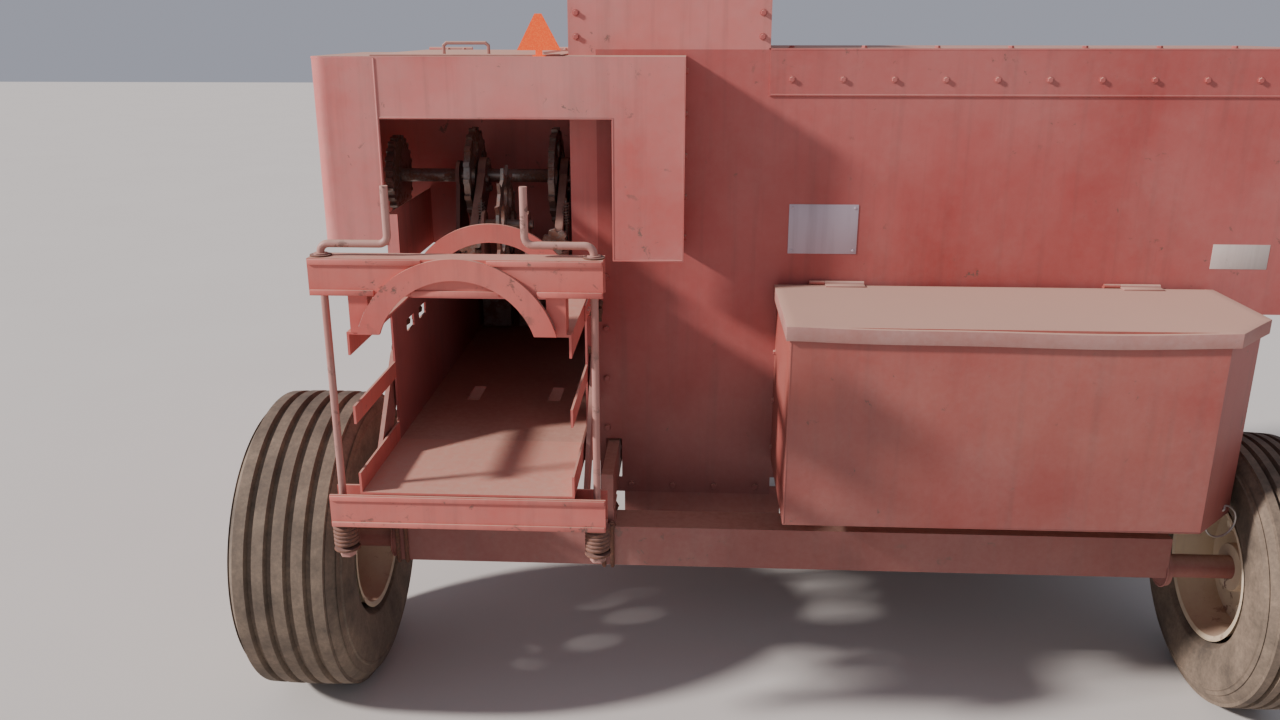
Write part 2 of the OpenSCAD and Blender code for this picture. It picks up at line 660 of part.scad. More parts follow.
// Feeder carriage: a beam on rollers with three rows of curved fingers
carriage_x = 560;
carriage_len = 920;
row_pitch = (carriage_len - 120) / 2;
finger_low = 26;
module finger() intersection() {
    translate([210, 0]) difference() { circle(r = 250, $fn = 96); circle(r = 226, $fn = 96); }
    polygon([[-50, 60], [-50, -260], [170, -262], [170, 60]]);
}
module feeder_carriage() color("#8c8780") {
    beam_z = feeder_rail_z - 100;
    tip_z = floor_z + finger_low;
    x1 = carriage_x + carriage_len;
    difference() {
        block(carriage_x, x1, rail_y - 20, rail_y + rail_s + 20, beam_z, beam_z + 80);
        block(carriage_x - e, x1 + e, rail_y - 12, rail_y + rail_s + 12, beam_z + 8, beam_z + 81);
    }
    for (x = [carriage_x + 40, x1 - 160]) {
        for (y = [rail_y - 20, rail_y + rail_s + 8])
            block(x, x + 120, y, y + 12, beam_z + 79, rail_top_z + 60);
        for (dx = [30, 90])
            rod_y(x + dx, rail_top_z + 24 + seat, 24, rail_y - 9, rail_y + rail_s + 9);
    }
    for (k = [0 : 2]) {
        x = carriage_x + 60 + k * row_pitch;
        block(x - 20, x + 20, rail_y - 160, rail_y + rail_s + 200, beam_z - 30, beam_z);
        for (y = [rail_y - 150, rail_y + 20, rail_y + 190])
            translate([x, y, 0]) {
                block(-12, 12, 0, 14, tip_z + 250, beam_z - 29);
                along_y(0, 14) translate([28, tip_z + 254]) finger();
            }
    }
}

// Twine box with its cut rear corner, and the lid
lid_gap = 0.5;
lid_top_z = box_rim_z + lid_gap + sheet;
hinge_r = 6;
hinge_y = wall_y - 10;
box_hinges = [box_left + 120, box_right - 220];
// Fixed knuckles and pins of a hinge along X, with a leaf that reaches back to y1
module hinge_leaf(y, z, xs, y1) for (x = xs) {
    rod_x(y, z, hinge_r, x - 40, x - 0.5);
    rod_x(y, z, 3, x - 1, x + 100);
    block(x - 40, x - 0.5, min(y, y1), max(y, y1), z - hinge_r, z - hinge_r + 4);
}
module barrel(y, z, x, len) difference() {
    rod_x(y, z, hinge_r, x, x + len);
    rod_x(y, z, 3 + fit, x - e, x + len + e);
}
box_line = [[box_left, wall_y], [box_left, box_rear_y], [box_right - box_corner, box_rear_y],
    [box_right, box_rear_y + box_corner], [box_right, wall_y]];
module twine_box() color("#9c4234") {
    along_z(box_floor_z, box_rim_z) sheet_line(box_line, sheet);
    along_z(box_floor_z, box_floor_z + sheet) polygon(inner_line(box_line, sheet - 0.5));
    block(1240, 1243, box_rear_y + sheet, wall_y, box_floor_z + sheet, box_rim_z - 60);
    hinge_leaf(hinge_y, lid_top_z + hinge_r - 2, box_hinges, wall_y);
}
lid_lip = 32;
lid_over = 12;
lid_line = [[box_left - lid_over, hinge_y - 6], [box_left - lid_over, box_rear_y - lid_over],
    [box_right - box_corner + 5, box_rear_y - lid_over], [box_right + lid_over, box_rear_y + box_corner - 5],
    [box_right + lid_over, hinge_y - 6]];
module twine_lid() color("#b0876a") {
    along_z(box_rim_z + lid_gap, lid_top_z) polygon(lid_line);
    along_z(box_rim_z - lid_lip, box_rim_z + lid_gap + e) sheet_line(lid_line, sheet);
    for (x = box_hinges) {
        barrel(hinge_y, lid_top_z + hinge_r - 2, x, 100);
        block(x, x + 100, hinge_y - 30, hinge_y - hinge_r + 1, lid_top_z - e, lid_top_z + 4);
    }
}

// Pickup
pickup_right = pickup_left + pickup_w + 2 * plate6;
gauge_y = reel_y - 90;
in_left = pickup_left + plate6;
in_right = in_left + pickup_w;
guard_y = 1620;
guard_z = 800;
guard_rods = 12;
back_beam = [1262, 470];
module pickup_frame() color("#8f3a2c") {
    difference() {
        for (x = [pickup_left, in_right]) along_x(x, x + plate6) {
            translate([reel_y, reel_z]) circle(r = 205, $fn = 96);
            link([lift_y, lift_z], [reel_y - 60, reel_z + 40], 35, 130);
            link(back_beam, [reel_y - 60, reel_z], 45, 130);
            link([guard_y, guard_z], [reel_y, reel_z + 60], 26, 120);
        }
        rod_x(reel_y, reel_z, 20 + fit, pickup_left - e, pickup_right + e);
        rod_x(guard_y, guard_z, 15 + fit, pickup_left - e, pickup_right + e);
    }
    for (x = [in_left, in_right - 22]) rod_x(lift_y, lift_z, 15, x - e, x + 22 + e);
    rod_x(back_beam[0], back_beam[1], 25, in_left, in_right);
    along_x(pickup_right, pickup_right + 8) link([gauge_y, reel_z + 60], [gauge_y, gauge_r + 3], 45, 34);
    rod_x(gauge_y, gauge_r + 3, 12, pickup_right, pickup_right + 12 + gauge_w);
}
band_pitch = pickup_w / tine_count;
tail_top = [lift_y + 20, 690];
tail_low = [back_beam[0] + 25, back_beam[1] - 4];
function polar(p, q) = atan2(q[1] - p[1], q[0] - p[0]);
module strap(p, q, t) polygon([p, q, q + t * left_of(p, q), p + t * left_of(p, q)]);
module band_profile() {
    c = [reel_y, reel_z];
    top_a = polar(c, tail_top) - acos(band_r / norm(tail_top - c));
    low_a = polar(c, tail_low) + acos(band_r / norm(tail_low - c)) - 360;
    translate(c) arc_band(band_r - 3, band_r, low_a + 359, top_a + 361);
    strap(c + band_r * [cos(top_a), sin(top_a)], tail_top, 3);
    strap(tail_low, c + band_r * [cos(low_a), sin(low_a)], 3);
}
module pickup_strippers() color("#9a5a46") {
    half = (band_pitch - band_gap) / 2;
    for (i = [1 : tine_count - 1])
        along_x(in_left + i * band_pitch - half, in_left + i * band_pitch + half) band_profile();
    along_x(in_left, in_left + half) band_profile();
    along_x(in_right - half, in_right - seat) band_profile();
    block(in_left + 24, in_right - 24, lift_y + 16, lift_y + 46, 655, 659);
    block(in_left + 24, in_right - 24, lift_y + 18, lift_y + 22, 655, 689);
}
bar_r = 12;
bar_ring = 130;
module tine_profile() {
    link([bar_ring, 0], [bar_ring + 60, -6], 5, 4);
    link([bar_ring + 60, -6], [tine_r - 4, -34], 4, 3);
}
module pickup_reel() color("#6a625c") translate([0, reel_y, reel_z]) {
    rod_x(0, 0, 20, pickup_left - 2, pickup_right - 1);
    for (x = [in_left + 20, in_left + pickup_w / 3, in_left + 2 * pickup_w / 3, in_right - 28])
        along_x(x - 4, x + 4) for (k = [0 : tine_bars - 1])
            rotate(k * 360 / tine_bars) link([0, 0], [bar_ring, 0], 48, 22);
    for (k = [0 : tine_bars - 1]) rotate([k * 360 / tine_bars, 0, 0]) {
        rod_x(bar_ring, 0, bar_r, in_left + 10, in_right - 10);
        for (i = [0 : tine_count - 1])
            translate([in_left + (i + 0.5) * band_pitch - tine_t / 2, 0, 0])
                rotate([90, 0, 90]) linear_extrude(tine_t) tine_profile();
    }
}
module windguard() color("#7a4436") {
    rod_x(guard_y, guard_z, 15, pickup_left - 8, pickup_right + 8);
    pitch = (pickup_w - 90) / (guard_rods - 1);
    for (i = [0 : guard_rods - 1]) along_x(in_left + 40 + i * pitch, in_left + 50 + i * pitch) {
        strap([guard_y, guard_z - 4], [guard_y - 130, guard_z - 54], -9);
        strap([guard_y - 126, guard_z - 54], [guard_y - 300, guard_z - 54], -9);
        strap([guard_y - 296, guard_z - 54], [guard_y - 350, guard_z - 30], -9);
    }
}
module gauge_wheel() color("#3b3735") translate([pickup_right + 14 + gauge_w / 2, gauge_y, gauge_r + 3])
    rotate([0, 90, 0]) rotate_extrude($fn = 96) difference() {
        union() {
            translate([12 + fit, -gauge_w / 2]) square([28, gauge_w]);
            translate([30, -3]) square([gauge_r - 90, 6]);
            translate([gauge_r - 72, -gauge_w / 2 + 6]) square([30, gauge_w - 12]);
            translate([gauge_r - 60, -gauge_w / 2 + 2]) square([42, gauge_w - 4]);
            for (s = [-1, 1]) translate([gauge_r - 20, s * (gauge_w / 2 - 20)]) circle(r = 20);
            translate([gauge_r - 24, -gauge_w / 2 + 20]) square([24, gauge_w - 40]);
        }
    }

// Knotter hood, lid and the shield on its left
knotter_hinge = [hood_front_y + 8, hood_z + 8];
knotter_hinges = [-220, 60];
side_plate_z = 1240;
module knotter_hood() color("#b5523f") {
    difference() {
        along_z(hood_foot_z, hood_z) sheet_line([[-hood_open, wall_y], [-hood_open, hood_rear_y],
            [hood_right, hood_rear_y], [hood_right, wall_y]], sheet);
        block(-hood_open - e, hood_open, hood_rear_y - e, wall_y + e, hood_foot_z - e, hood_open_z);
    }
    difference() {
        block(-hood_open, hood_right, hood_rear_y, wall_y, hood_z - sheet, hood_z);
        block(-hood_open + sheet, tower_left - 1, hood_rear_y + 60, wall_y + e, 0, hood_z + e);
    }
    block(hood_open, hood_open + sheet, hood_rear_y, hood_rear_y + 45, hood_foot_z, hood_open_z);
    block(-hood_open, hood_open + sheet, hood_rear_y, hood_rear_y + 45, hood_open_z, hood_open_z + sheet);
    block(-hood_open, tower_left, hood_front_y - sheet, hood_front_y, roof_case_z, hood_z);
    block(-hood_open, -hood_open + sheet, hood_rear_y, hood_front_y - e, roof_case_z, side_plate_z);
    block(-hood_open, -hood_open + 30, hood_rear_y, hood_rear_y + sheet, roof_case_z, side_plate_z);
    for (x = knotter_hinges) {
        rod_x(knotter_hinge[0], knotter_hinge[1], hinge_r, x - 40, x - 0.5);
        rod_x(knotter_hinge[0], knotter_hinge[1], 3, x - 1, x + 80);
        block(x - 40, x - 0.5, hood_front_y - e, knotter_hinge[0] + 2, hood_z - 12, knotter_hinge[1] - 3);
    }
}
lid_right = tower_left - 6;
module knotter_lid() color("#b07a62") {
    low = hood_z + seat;
    block(-hood_open - 20, lid_right, hood_rear_y + 30, hood_front_y - 7, low, low + sheet);
    for (x = knotter_hinges) {
        barrel(knotter_hinge[0], knotter_hinge[1], x, 80);
        block(x, x + 80, hood_front_y - 20, knotter_hinge[0] - hinge_r + 1, low + sheet - e, hood_z + 7);
    }
}
shield_corner = 40;
shield_foot_z = 1163;
// The shield's outline from above, inset by t: square but for its rear left corner, and open to the hood
module shield_plan(t) {
    x0 = t - hood_left;
    y0 = hood_rear_y + t;
    y1 = hood_front_y - t;
    corner = [shield_corner - hood_left, hood_rear_y + shield_corner];
    reach = t > 0 ? e : 0;
    translate([corner[0], y0]) square([-hood_open + reach - corner[0], y1 - y0]);
    translate([x0, corner[1]]) square([shield_corner + e, y1 - corner[1]]);
    translate(corner) circle(r = shield_corner - t);
}
module knotter_shield() color("#b86a58") difference() {
    along_z(shield_foot_z, hood_z) shield_plan(0);
    along_z(shield_foot_z - e, hood_z - sheet) shield_plan(sheet);
}
side_drive_w = 62;
chain_r = 70;
chain_mid = [hood_front_y + 290, roof_case_z - 30];
module side_drive_shield() color("#9c3f30") along_x(-out_x - side_drive_w, -out_x) {
    link([crank_y, crank_z], chain_mid, 2 * chain_r + 10, chain_r);
    link(chain_mid, [hood_front_y + chain_r + 5, roof_case_z + 90], chain_r, chain_r);
}

// Knotters: end plates, two cast frames and the shaft with its cam gears
plate_x = 148;
module bearing(x, w, c, r, foot) difference() {
    along_x(x, x + w) {
        translate(c) circle(r = r + 22);
        polygon([[c[0] - 28, c[1]], [c[0] + 28, c[1]],
            [c[0] + foot, roof_case_z], [c[0] - foot, roof_case_z]]);
    }
    rod_x(c[0], c[1], r + fit, x - e, x + w + e);
}
star_y = 610;
star_z = roof_case_z + 119;
module knotter_frame() color("#6a5650") {
    for (x = [-plate_x - 10, plate_x]) bearing(x, 10, [knotter_y, knotter_z], knotter_r, 80);
    for (x = [-60, 52]) bearing(x, 8, [star_y, star_z], 12, 50);
    for (s = [-1, 1]) translate([s * twine_x, 0, 0]) {
        difference() {
            along_x(14, 34) {
                translate([knotter_y, knotter_z]) circle(r = 48);
                link([knotter_y, knotter_z], [620, 1150], 40, 34);
            }
            rod_x(knotter_y, knotter_z, knotter_r + seat, 0, 60);
        }
        rod_z(24, 585, 28, 1128, 1136);
        rod_z(24, 585, 10, 1100, 1128);
        rod_y(24, 1168, 12, 540, 600);
        rod_y(24, 1168, 20, 556, 572);
        block(18, 30, 560, 640, 1150, 1180);
    }
}
cam_r = 128;
module knotter_shaft() color("#80766c") {
    rod_x(knotter_y, knotter_z, knotter_r, -335, plate_x + 14);
    for (x = [-twine_x, twine_x]) along_x(x - 8, x + 8) translate([knotter_y, knotter_z]) difference() {
        union() {
            circle(r = cam_r - 8, $fn = 96);
            for (a = [0 : 20 : 340]) rotate(a) translate([cam_r - 12, -6]) square([12, 12]);
        }
        for (a = [0 : 72 : 288]) rotate(a + 30) translate([74, 0]) circle(r = 22);
    }
    along_x(-330, -310) translate([knotter_y, knotter_z]) {
        circle(r = 96, $fn = 96);
        for (a = [0 : 15 : 345]) rotate(a) translate([92, -5]) square([14, 10]);
    }
}
star_teeth = 14;
module measuring_wheel() color("#8a8078") {
    rod_x(star_y, star_z, 12, -70, 70);
    along_x(-4, 4) translate([star_y, star_z]) difference() {
        union() {
            circle(r = star_r - 26, $fn = 96);
            for (k = [0 : star_teeth - 1]) rotate(k * 360 / star_teeth)
                polygon([[star_r - 32, -14], [star_r, 0], [star_r - 32, 14]]);
        }
        for (k = [0 : 6]) rotate(k * 360 / 7) translate([76, 0]) circle(r = 24);
    }
}

// Needle yoke: two arms on the chamber's pins, a cross tube and two curved needles
yoke_low = -131;
needle_tip = -38;
arm_gap = 5;
module needle_yoke() color("#7c3b2d") {
    c = [yoke_y, mid_z];
    foot = c + needle_r * [cos(yoke_low), sin(yoke_low)];
    both() difference() {
        along_x(out_x + arm_gap, out_x + arm_gap + 10) link(c, foot, 38, 30);
        rod_x(c[0], c[1], 20 + fit, out_x, out_x + 30);
    }
    rod_x(foot[0], foot[1], 24, -out_x - arm_gap - 1, out_x + arm_gap + 1);
    for (s = [-1, 1]) along_x(s * twine_x - 6, s * twine_x + 6) translate(c) {
        arc_band(needle_r - 12, needle_r + 12, 360 + yoke_low, 360 + needle_tip - 8);
        arc_band(needle_r - 5, needle_r + 9, 360 + needle_tip - 9, 360 + needle_tip);
    }
}

// Tongue, hitch and jack
drive_front = [hitch_y - 260, tongue_z + tongue_h / 2 + 170];
drive_drop = atan2(crank_z - drive_front[1], drive_front[0] - pivot_y);
drive_len = norm([drive_front[0] - pivot_y, crank_z - drive_front[1]]);
stand_y = hitch_y - 400;
stand_z = crank_z - (stand_y + 6 - pivot_y) * tan(drive_drop);
module tongue() color("#8d3526") {
    x = -gear_x;
    difference() {
        union() {
            rod_z(x, pivot_y, 50, tongue_z - 44, tongue_z + 44);
            block(x - 42, x + 42, pivot_y, pivot_y + 110, tongue_z - 44, tongue_z + 44);
            along_x(x - tongue_w / 2, x + tongue_w / 2) polygon([[pivot_y + 75, tongue_z - 44],
                [pivot_y + 75, tongue_z + 44], [pivot_y + 140, tongue_z + tongue_h / 2],
                [hitch_y - 330, tongue_z + tongue_h / 2], [hitch_y - 120, tongue_z + 30],
                [hitch_y - 120, tongue_z - 30], [hitch_y - 330, tongue_z - tongue_h / 2],
                [pivot_y + 140, tongue_z - tongue_h / 2]]);
        }
        rod_z(x, pivot_y, 24 + fit, tongue_z - 60, tongue_z + 60);
    }
    along_y(stand_y, stand_y + 12) difference() {
        translate([x - 40, tongue_z + tongue_h / 2]) square([80, stand_z - tongue_z - tongue_h / 2 - 6]);
        translate([x, stand_z]) circle(r = 38.6);
    }
    rod_x(jack_y, tongue_z, 14, x - tongue_w / 2 - jack_off + 22, x - tongue_w / 2 + e);
}
module hitch_clevis() color("#6d625a") {
    x = -gear_x;
    difference() {
        union() for (z = [-30, 14]) translate([0, 0, tongue_z + z]) linear_extrude(16) {
            translate([x, hitch_y]) circle(r = 40);
            translate([x - 40, hitch_y - 120]) square([80, 120]);
        }
        rod_z(x, hitch_y, hitch_r, tongue_z - 40, tongue_z + 40);
    }
    block(x - 40, x + 40, hitch_y - 120, hitch_y - 70, tongue_z - 14, tongue_z + 14);
}
module driveline() color("#57504a") {
    translate([-gear_x, pivot_y, crank_z]) rotate([-drive_drop, 0, 0]) {
        rod_y(0, 0, 20, 20, drive_len);
        difference() {
            union() {
                rod_y(0, 0, 37, 60, drive_len - 60);
                rod_y(0, 0, 46, drive_len * 0.5, drive_len * 0.5 + 60);
                translate([0, -48, 0]) rotate([-90, 0, 0]) cylinder(r1 = 98, r2 = 40, h = 130);
            }
            translate([0, -49, 0]) rotate([-90, 0, 0]) cylinder(r1 = 95, r2 = 36, h = 121);
            rod_y(0, 0, 20 + fit, 10, drive_len);
        }
    }
    difference() {
        union() {
            rod_y(-gear_x, drive_front[1], 40, drive_front[0] + 50, drive_front[0] + 130);
            block(-gear_x - 40, -gear_x + 40, drive_front[0] + 10, drive_front[0] + 60,
                drive_front[1] - 12, drive_front[1] + 12);
            rod_x(drive_front[0] + 10, drive_front[1], 26, -gear_x - 40, -gear_x + 40);
        }
        rod_y(-gear_x, drive_front[1], pto_r, drive_front[0] + 70, drive_front[0] + 131);
    }
}
jack_x = -gear_x - tongue_w / 2 - jack_off;
module jack() color("#8f8a84") {
    difference() {
        union() {
            rod_x(jack_y, tongue_z, 26, jack_x, jack_x + jack_off - seat);
            rod_x(jack_y, tongue_z, 34, jack_x + 44, jack_x + 54);
            rod_z(jack_x, jack_y, 32, 170, 800);
        }
        rod_x(jack_y, tongue_z, 14 + fit, jack_x + 21, jack_x + jack_off + 1);
    }
    rod_z(jack_x, jack_y, 36, 786, 806);
    rod_z(jack_x, jack_y, 24, 8, 200);
    rod_z(jack_x, jack_y, 85, 0, 8);
    rod_z(jack_x, jack_y, 34, 7, 30);
    rod_x(jack_y, 790, 8, jack_x - 130, jack_x);
    rod_z(jack_x - 130, jack_y, 10, 782, 880);
}

// Small triangular reflector on the hood
module triangle_reflector() color("#f0641e") {
    along_y(hood_rear_y + 10, hood_rear_y + 13)
        polygon([[58, hood_z + 14], [162, hood_z + 14], [118, hood_z + 96], [102, hood_z + 96]]);
    block(102, 118, hood_rear_y + 10, hood_rear_y + 13, hood_z, hood_z + 16);
    block(96, 124, hood_rear_y + 4, hood_rear_y + 28, hood_z, hood_z + 3);
}

place() bale_case();
place() chamber_rails();
place() chamber_bows();
place() tension_bars();
place() tension_springs();
place() tension_screws();
place() plunger_case();
place() plunger_cover();
place() plunger();
place() plunger_drive();
place() gearbox();
place() flywheel();
place() flywheel_shield();
place() main_frame();
place() axle();
place() left_rim();
place() left_tyre();
place() right_rim();
place() right_tyre();
place() feeder_wall();
place() feeder_roof();
place() feeder_deck();
place() feeder_tower();
place() feeder_rail();
place() feeder_carriage();
place() twine_box();
place() twine_lid();
place() pickup_frame();
place() pickup_strippers();
place() pickup_reel();
place() windguard();
place() gauge_wheel();
place() knotter_hood();
place() knotter_lid();
place() knotter_shield();
place() side_drive_shield();
place() knotter_frame();
place() knotter_shaft();
place() measuring_wheel();
place() needle_yoke();
place() tongue();
place() hitch_clevis();
place() driveline();
place() jack();
place() triangle_reflector();
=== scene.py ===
# Looks of a dusty towed square baler: paint, rust, rubber and the small parts that the frame leaves out.
from functools import partial
from math import atan2, cos, hypot, pi, radians, sin

import bmesh
import bpy
from mathutils import Matrix, Vector


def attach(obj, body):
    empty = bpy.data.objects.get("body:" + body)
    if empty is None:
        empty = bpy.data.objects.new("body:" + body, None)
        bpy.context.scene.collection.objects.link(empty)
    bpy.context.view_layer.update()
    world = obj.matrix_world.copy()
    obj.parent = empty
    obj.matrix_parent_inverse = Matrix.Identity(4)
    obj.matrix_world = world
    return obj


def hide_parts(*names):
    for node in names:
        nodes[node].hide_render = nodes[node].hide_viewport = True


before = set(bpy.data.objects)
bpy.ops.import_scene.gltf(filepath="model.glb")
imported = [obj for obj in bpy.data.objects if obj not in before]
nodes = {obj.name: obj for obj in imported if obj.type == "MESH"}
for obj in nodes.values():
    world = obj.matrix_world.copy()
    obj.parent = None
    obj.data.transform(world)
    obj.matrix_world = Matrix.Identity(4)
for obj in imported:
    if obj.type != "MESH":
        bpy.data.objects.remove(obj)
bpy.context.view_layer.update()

# Working sizes in millimetres: X from the chamber's centre line, Y from the tension bar, Z from the ground
FRAME_X = 0.6925
FRAME_Y = 2.365


def at(x, y, z):
    """A point of the working sizes, in the frame's metres."""
    return Vector((x / 1000 - FRAME_X, y / 1000 - FRAME_Y, z / 1000))


# Camera: where the photograph was taken from
CAMERA_DOWN = radians(17.55)
CAMERA_LEFT = radians(2.9)
FOCAL_PIXELS = 1050
PHOTO_WIDTH = 1280
SENSOR = 36.0

camera_data = bpy.data.cameras.new("camera")
camera_data.sensor_width = SENSOR
camera_data.lens = FOCAL_PIXELS / PHOTO_WIDTH * SENSOR
camera_data.clip_end = 200
camera = bpy.data.objects.new("camera", camera_data)
camera.location = at(478, -2044, 1680)
camera.rotation_euler = (pi / 2 - CAMERA_DOWN, 0, CAMERA_LEFT)
bpy.context.scene.collection.objects.link(camera)
bpy.context.scene.camera = camera


# Materials
def linear(code):
    """An sRGB hex colour as linear red, green, blue and alpha."""
    parts = [int(code[i:i + 2], 16) / 255 for i in (1, 3, 5)]
    return tuple(c / 12.92 if c <= 0.04045 else ((c + 0.055) / 1.055) ** 2.4 for c in parts) + (1.0,)


def mm(size):
    """Texture scale whose features are about size millimetres across."""
    return 1000.0 / size


def add_node(tree, kind, inputs=(), output=0, **settings):
    """Adds a node with settings; its inputs are numbers, hex colours or sockets. Gives one of its outputs."""
    node = tree.nodes.new("ShaderNode" + kind)
    for name, value in settings.items():
        setattr(node, name, value)
    for name, value in (inputs.items() if isinstance(inputs, dict) else enumerate(inputs)):
        if isinstance(value, bpy.types.NodeSocket):
            tree.links.new(value, node.inputs[name])
        else:
            node.inputs[name].default_value = linear(value) if isinstance(value, str) else value
    return node.outputs[output] if node.outputs else None


def new_material(name):
    """An empty node material, what adds its nodes, and the object coordinates that its patterns read."""
    material = bpy.data.materials.new(name)
    material.use_nodes = True
    material.node_tree.nodes.clear()
    add = partial(add_node, material.node_tree)
    return material, add, add("TexCoord", output="Object")


def finish(material, looks):
    """Ends a material with its shader, of these looks, and its output."""
    shader = add_node(material.node_tree, "BsdfPrincipled", looks)
    add_node(material.node_tree, "OutputMaterial", [shader])
    return material


def upturned(add, low, high):
    """How far a surface faces the sky, from 0 at slope low to 1 at slope high."""
    normal = add("TexCoord", output="Normal")
    return add("MapRange", [add("SeparateXYZ", [normal], 2), low, high])


DUST = "#B6928A"
PALE_DUST = "#C09A88"
RUST = "#6B3F2A"
DARK_RUST = "#3E2A20"
# Dark brown for the dirt in run-down streaks, and for painted shade near the ground
GRIME_AND_SHADE = "#3A2A24"
STREAKS = 0.22
BLEND = {"output": 2, "data_type": "RGBA"}  # a Mix node of colours: input 0 is the share, 6 and 7 the colours


def weathered(add, place, colour, film, top, chips, gloss, low_dust, dent, low_shade=0.0):
    """A shader's looks: rust chips, run-down streaks and field dust over a paint colour, with painted shade
    towards the bottom.
    """
    height = add("SeparateXYZ", [place], 2)
    level = upturned(add, 0.35, 0.92)
    patches = add("TexNoise", dict(Vector=place, Scale=mm(230), Detail=5, Roughness=0.62))
    fine = add("TexNoise", dict(Vector=place, Scale=mm(16), Detail=5, Roughness=0.65))
    flecks = add("TexNoise", dict(Vector=place, Scale=mm(42), Detail=9, Roughness=0.72, Distortion=0.4))
    drawn_down = add("Mapping", dict(Vector=place, Scale=(1, 1, 0.05)))
    runs = add("TexNoise", dict(Vector=drawn_down, Scale=mm(34), Detail=4, Roughness=0.6))
    runs = add("MapRange", [runs, 0.5, 0.72])
    upright = add("Math", [level, -STREAKS, STREAKS], operation="MULTIPLY_ADD")
    runs = add("Math", [runs, upright], operation="MULTIPLY")
    chipped = add("MapRange", [flecks, 0.66 - chips * 0.1, 0.7 - chips * 0.1])
    chipped = add("Math", [chipped, add("MapRange", [patches, 0.44, 0.58])], operation="MULTIPLY")
    rusty = add("Mix", {0: fine, 6: DARK_RUST, 7: RUST}, **BLEND)
    colour = add("Mix", {0: runs, 6: colour, 7: GRIME_AND_SHADE}, **BLEND)
    colour = add("Mix", {0: chipped, 6: colour, 7: rusty}, **BLEND)
    # Painted shade: the colour darkens towards the bottom, below about a metre, for the shade low on the
    # machine
    shaded_low = add("MapRange", [height, 0.45, 1.05, low_shade, 0])
    colour = add("Mix", {0: shaded_low, 6: colour, 7: GRIME_AND_SHADE}, **BLEND)
    haze = add("MapRange", [patches, 0.3, 0.72, film * 0.55, film * 1.35])
    grain = add("MapRange", [fine, 0.25, 0.75, 0.72, 1.12])
    thrown = add("MapRange", [height, 0.25, 1.15, low_dust, 0])
    dust = add("Math", [level, top, haze], operation="MULTIPLY_ADD")
    dust = add("Math", [dust, thrown], operation="ADD")
    dust = add("Math", [dust, grain], operation="MULTIPLY")
    dust = add("Math", [dust, 0.94], operation="MINIMUM")
    pale = add("Mix", {0: level, 6: DUST, 7: PALE_DUST}, **BLEND)
    rough = add("Math", [dust, 0.42, gloss], operation="MULTIPLY_ADD")
    rough = add("Math", [fine, 0.1, rough], operation="MULTIPLY_ADD")
    waves = add("TexNoise", dict(Vector=place, Scale=mm(260), Detail=2, Roughness=0.5))
    dents = add("Bump", dict(Strength=0.5, Distance=dent, Height=waves))
    skin = add("Math", [chipped, -0.8, fine], operation="MULTIPLY_ADD")
    return {"Base Color": add("Mix", {0: dust, 6: colour, 7: pale}, **BLEND),
            "Roughness": add("Math", [rough, 0.95], operation="MINIMUM"),
            "Normal": add("Bump", dict(Strength=0.4, Distance=0.0006, Height=skin, Normal=dents))}


def faded_enamel(name, fresh, faded, film, top, chips, gloss=0.36, low_dust=0.1, dent=0.0035, low_shade=0.0):
    """Alkyd farm enamel on sheet steel, sun-faded in clouds."""
    material, add, place = new_material(name)
    clouds = add("TexNoise", dict(Vector=place, Scale=mm(480), Detail=5, Roughness=0.6))
    colour = add("Mix", {0: add("MapRange", [clouds, 0.36, 0.64]), 6: fresh, 7: faded}, **BLEND)
    return finish(material, weathered(add, place, colour, film, top, chips, gloss, low_dust, dent, low_shade))


def worn_steel(name, bright, dull, rust_share, metallic=0.85, film=0.12, top=0.35):
    """Bare rubbed steel: bright where crop or hands slide, brown in between."""
    material, add, place = new_material(name)
    clouds = add("TexNoise", dict(Vector=place, Scale=mm(60), Detail=6, Roughness=0.65))
    specks = add("TexNoise", dict(Vector=place, Scale=mm(7), Detail=6, Roughness=0.7))
    rust = add("Math", [specks, 0.35, clouds], operation="MULTIPLY_ADD")
    rust = add("MapRange", [rust, 0.86 - rust_share * 0.5, 0.98 - rust_share * 0.5])
    steel = add("Mix", {0: specks, 6: bright, 7: dull}, **BLEND)
    brown = add("Mix", {0: add("MapRange", [specks, 0.3, 0.7]), 6: DARK_RUST, 7: "#7A4A30"}, **BLEND)
    colour = add("Mix", {0: rust, 6: steel, 7: brown}, **BLEND)
    haze = add("MapRange", [clouds, 0.35, 0.7, film * 0.4, film * 1.5])
    dust = add("Math", [upturned(add, 0.3, 0.95), top, haze], operation="MULTIPLY_ADD")
    grain = add("MapRange", [specks, 0.25, 0.75, 0.7, 1.1])
    dust = add("Math", [dust, grain], operation="MULTIPLY")
    dust = add("Math", [dust, 0.92], operation="MINIMUM")
    covered = add("Math", [rust, dust], operation="MAXIMUM")
    scale = add("Math", [rust, 0.6, specks], operation="MULTIPLY_ADD")
    return finish(material, {
        "Base Color": add("Mix", {0: dust, 6: colour, 7: DUST}, **BLEND),
        "Metallic": add("Math", [covered, -metallic, metallic], operation="MULTIPLY_ADD"),
        "Roughness": add("MapRange", [covered, 0, 1, 0.3, 0.88]),
        "Normal": add("Bump", dict(Strength=0.5, Distance=0.0005, Height=scale))})


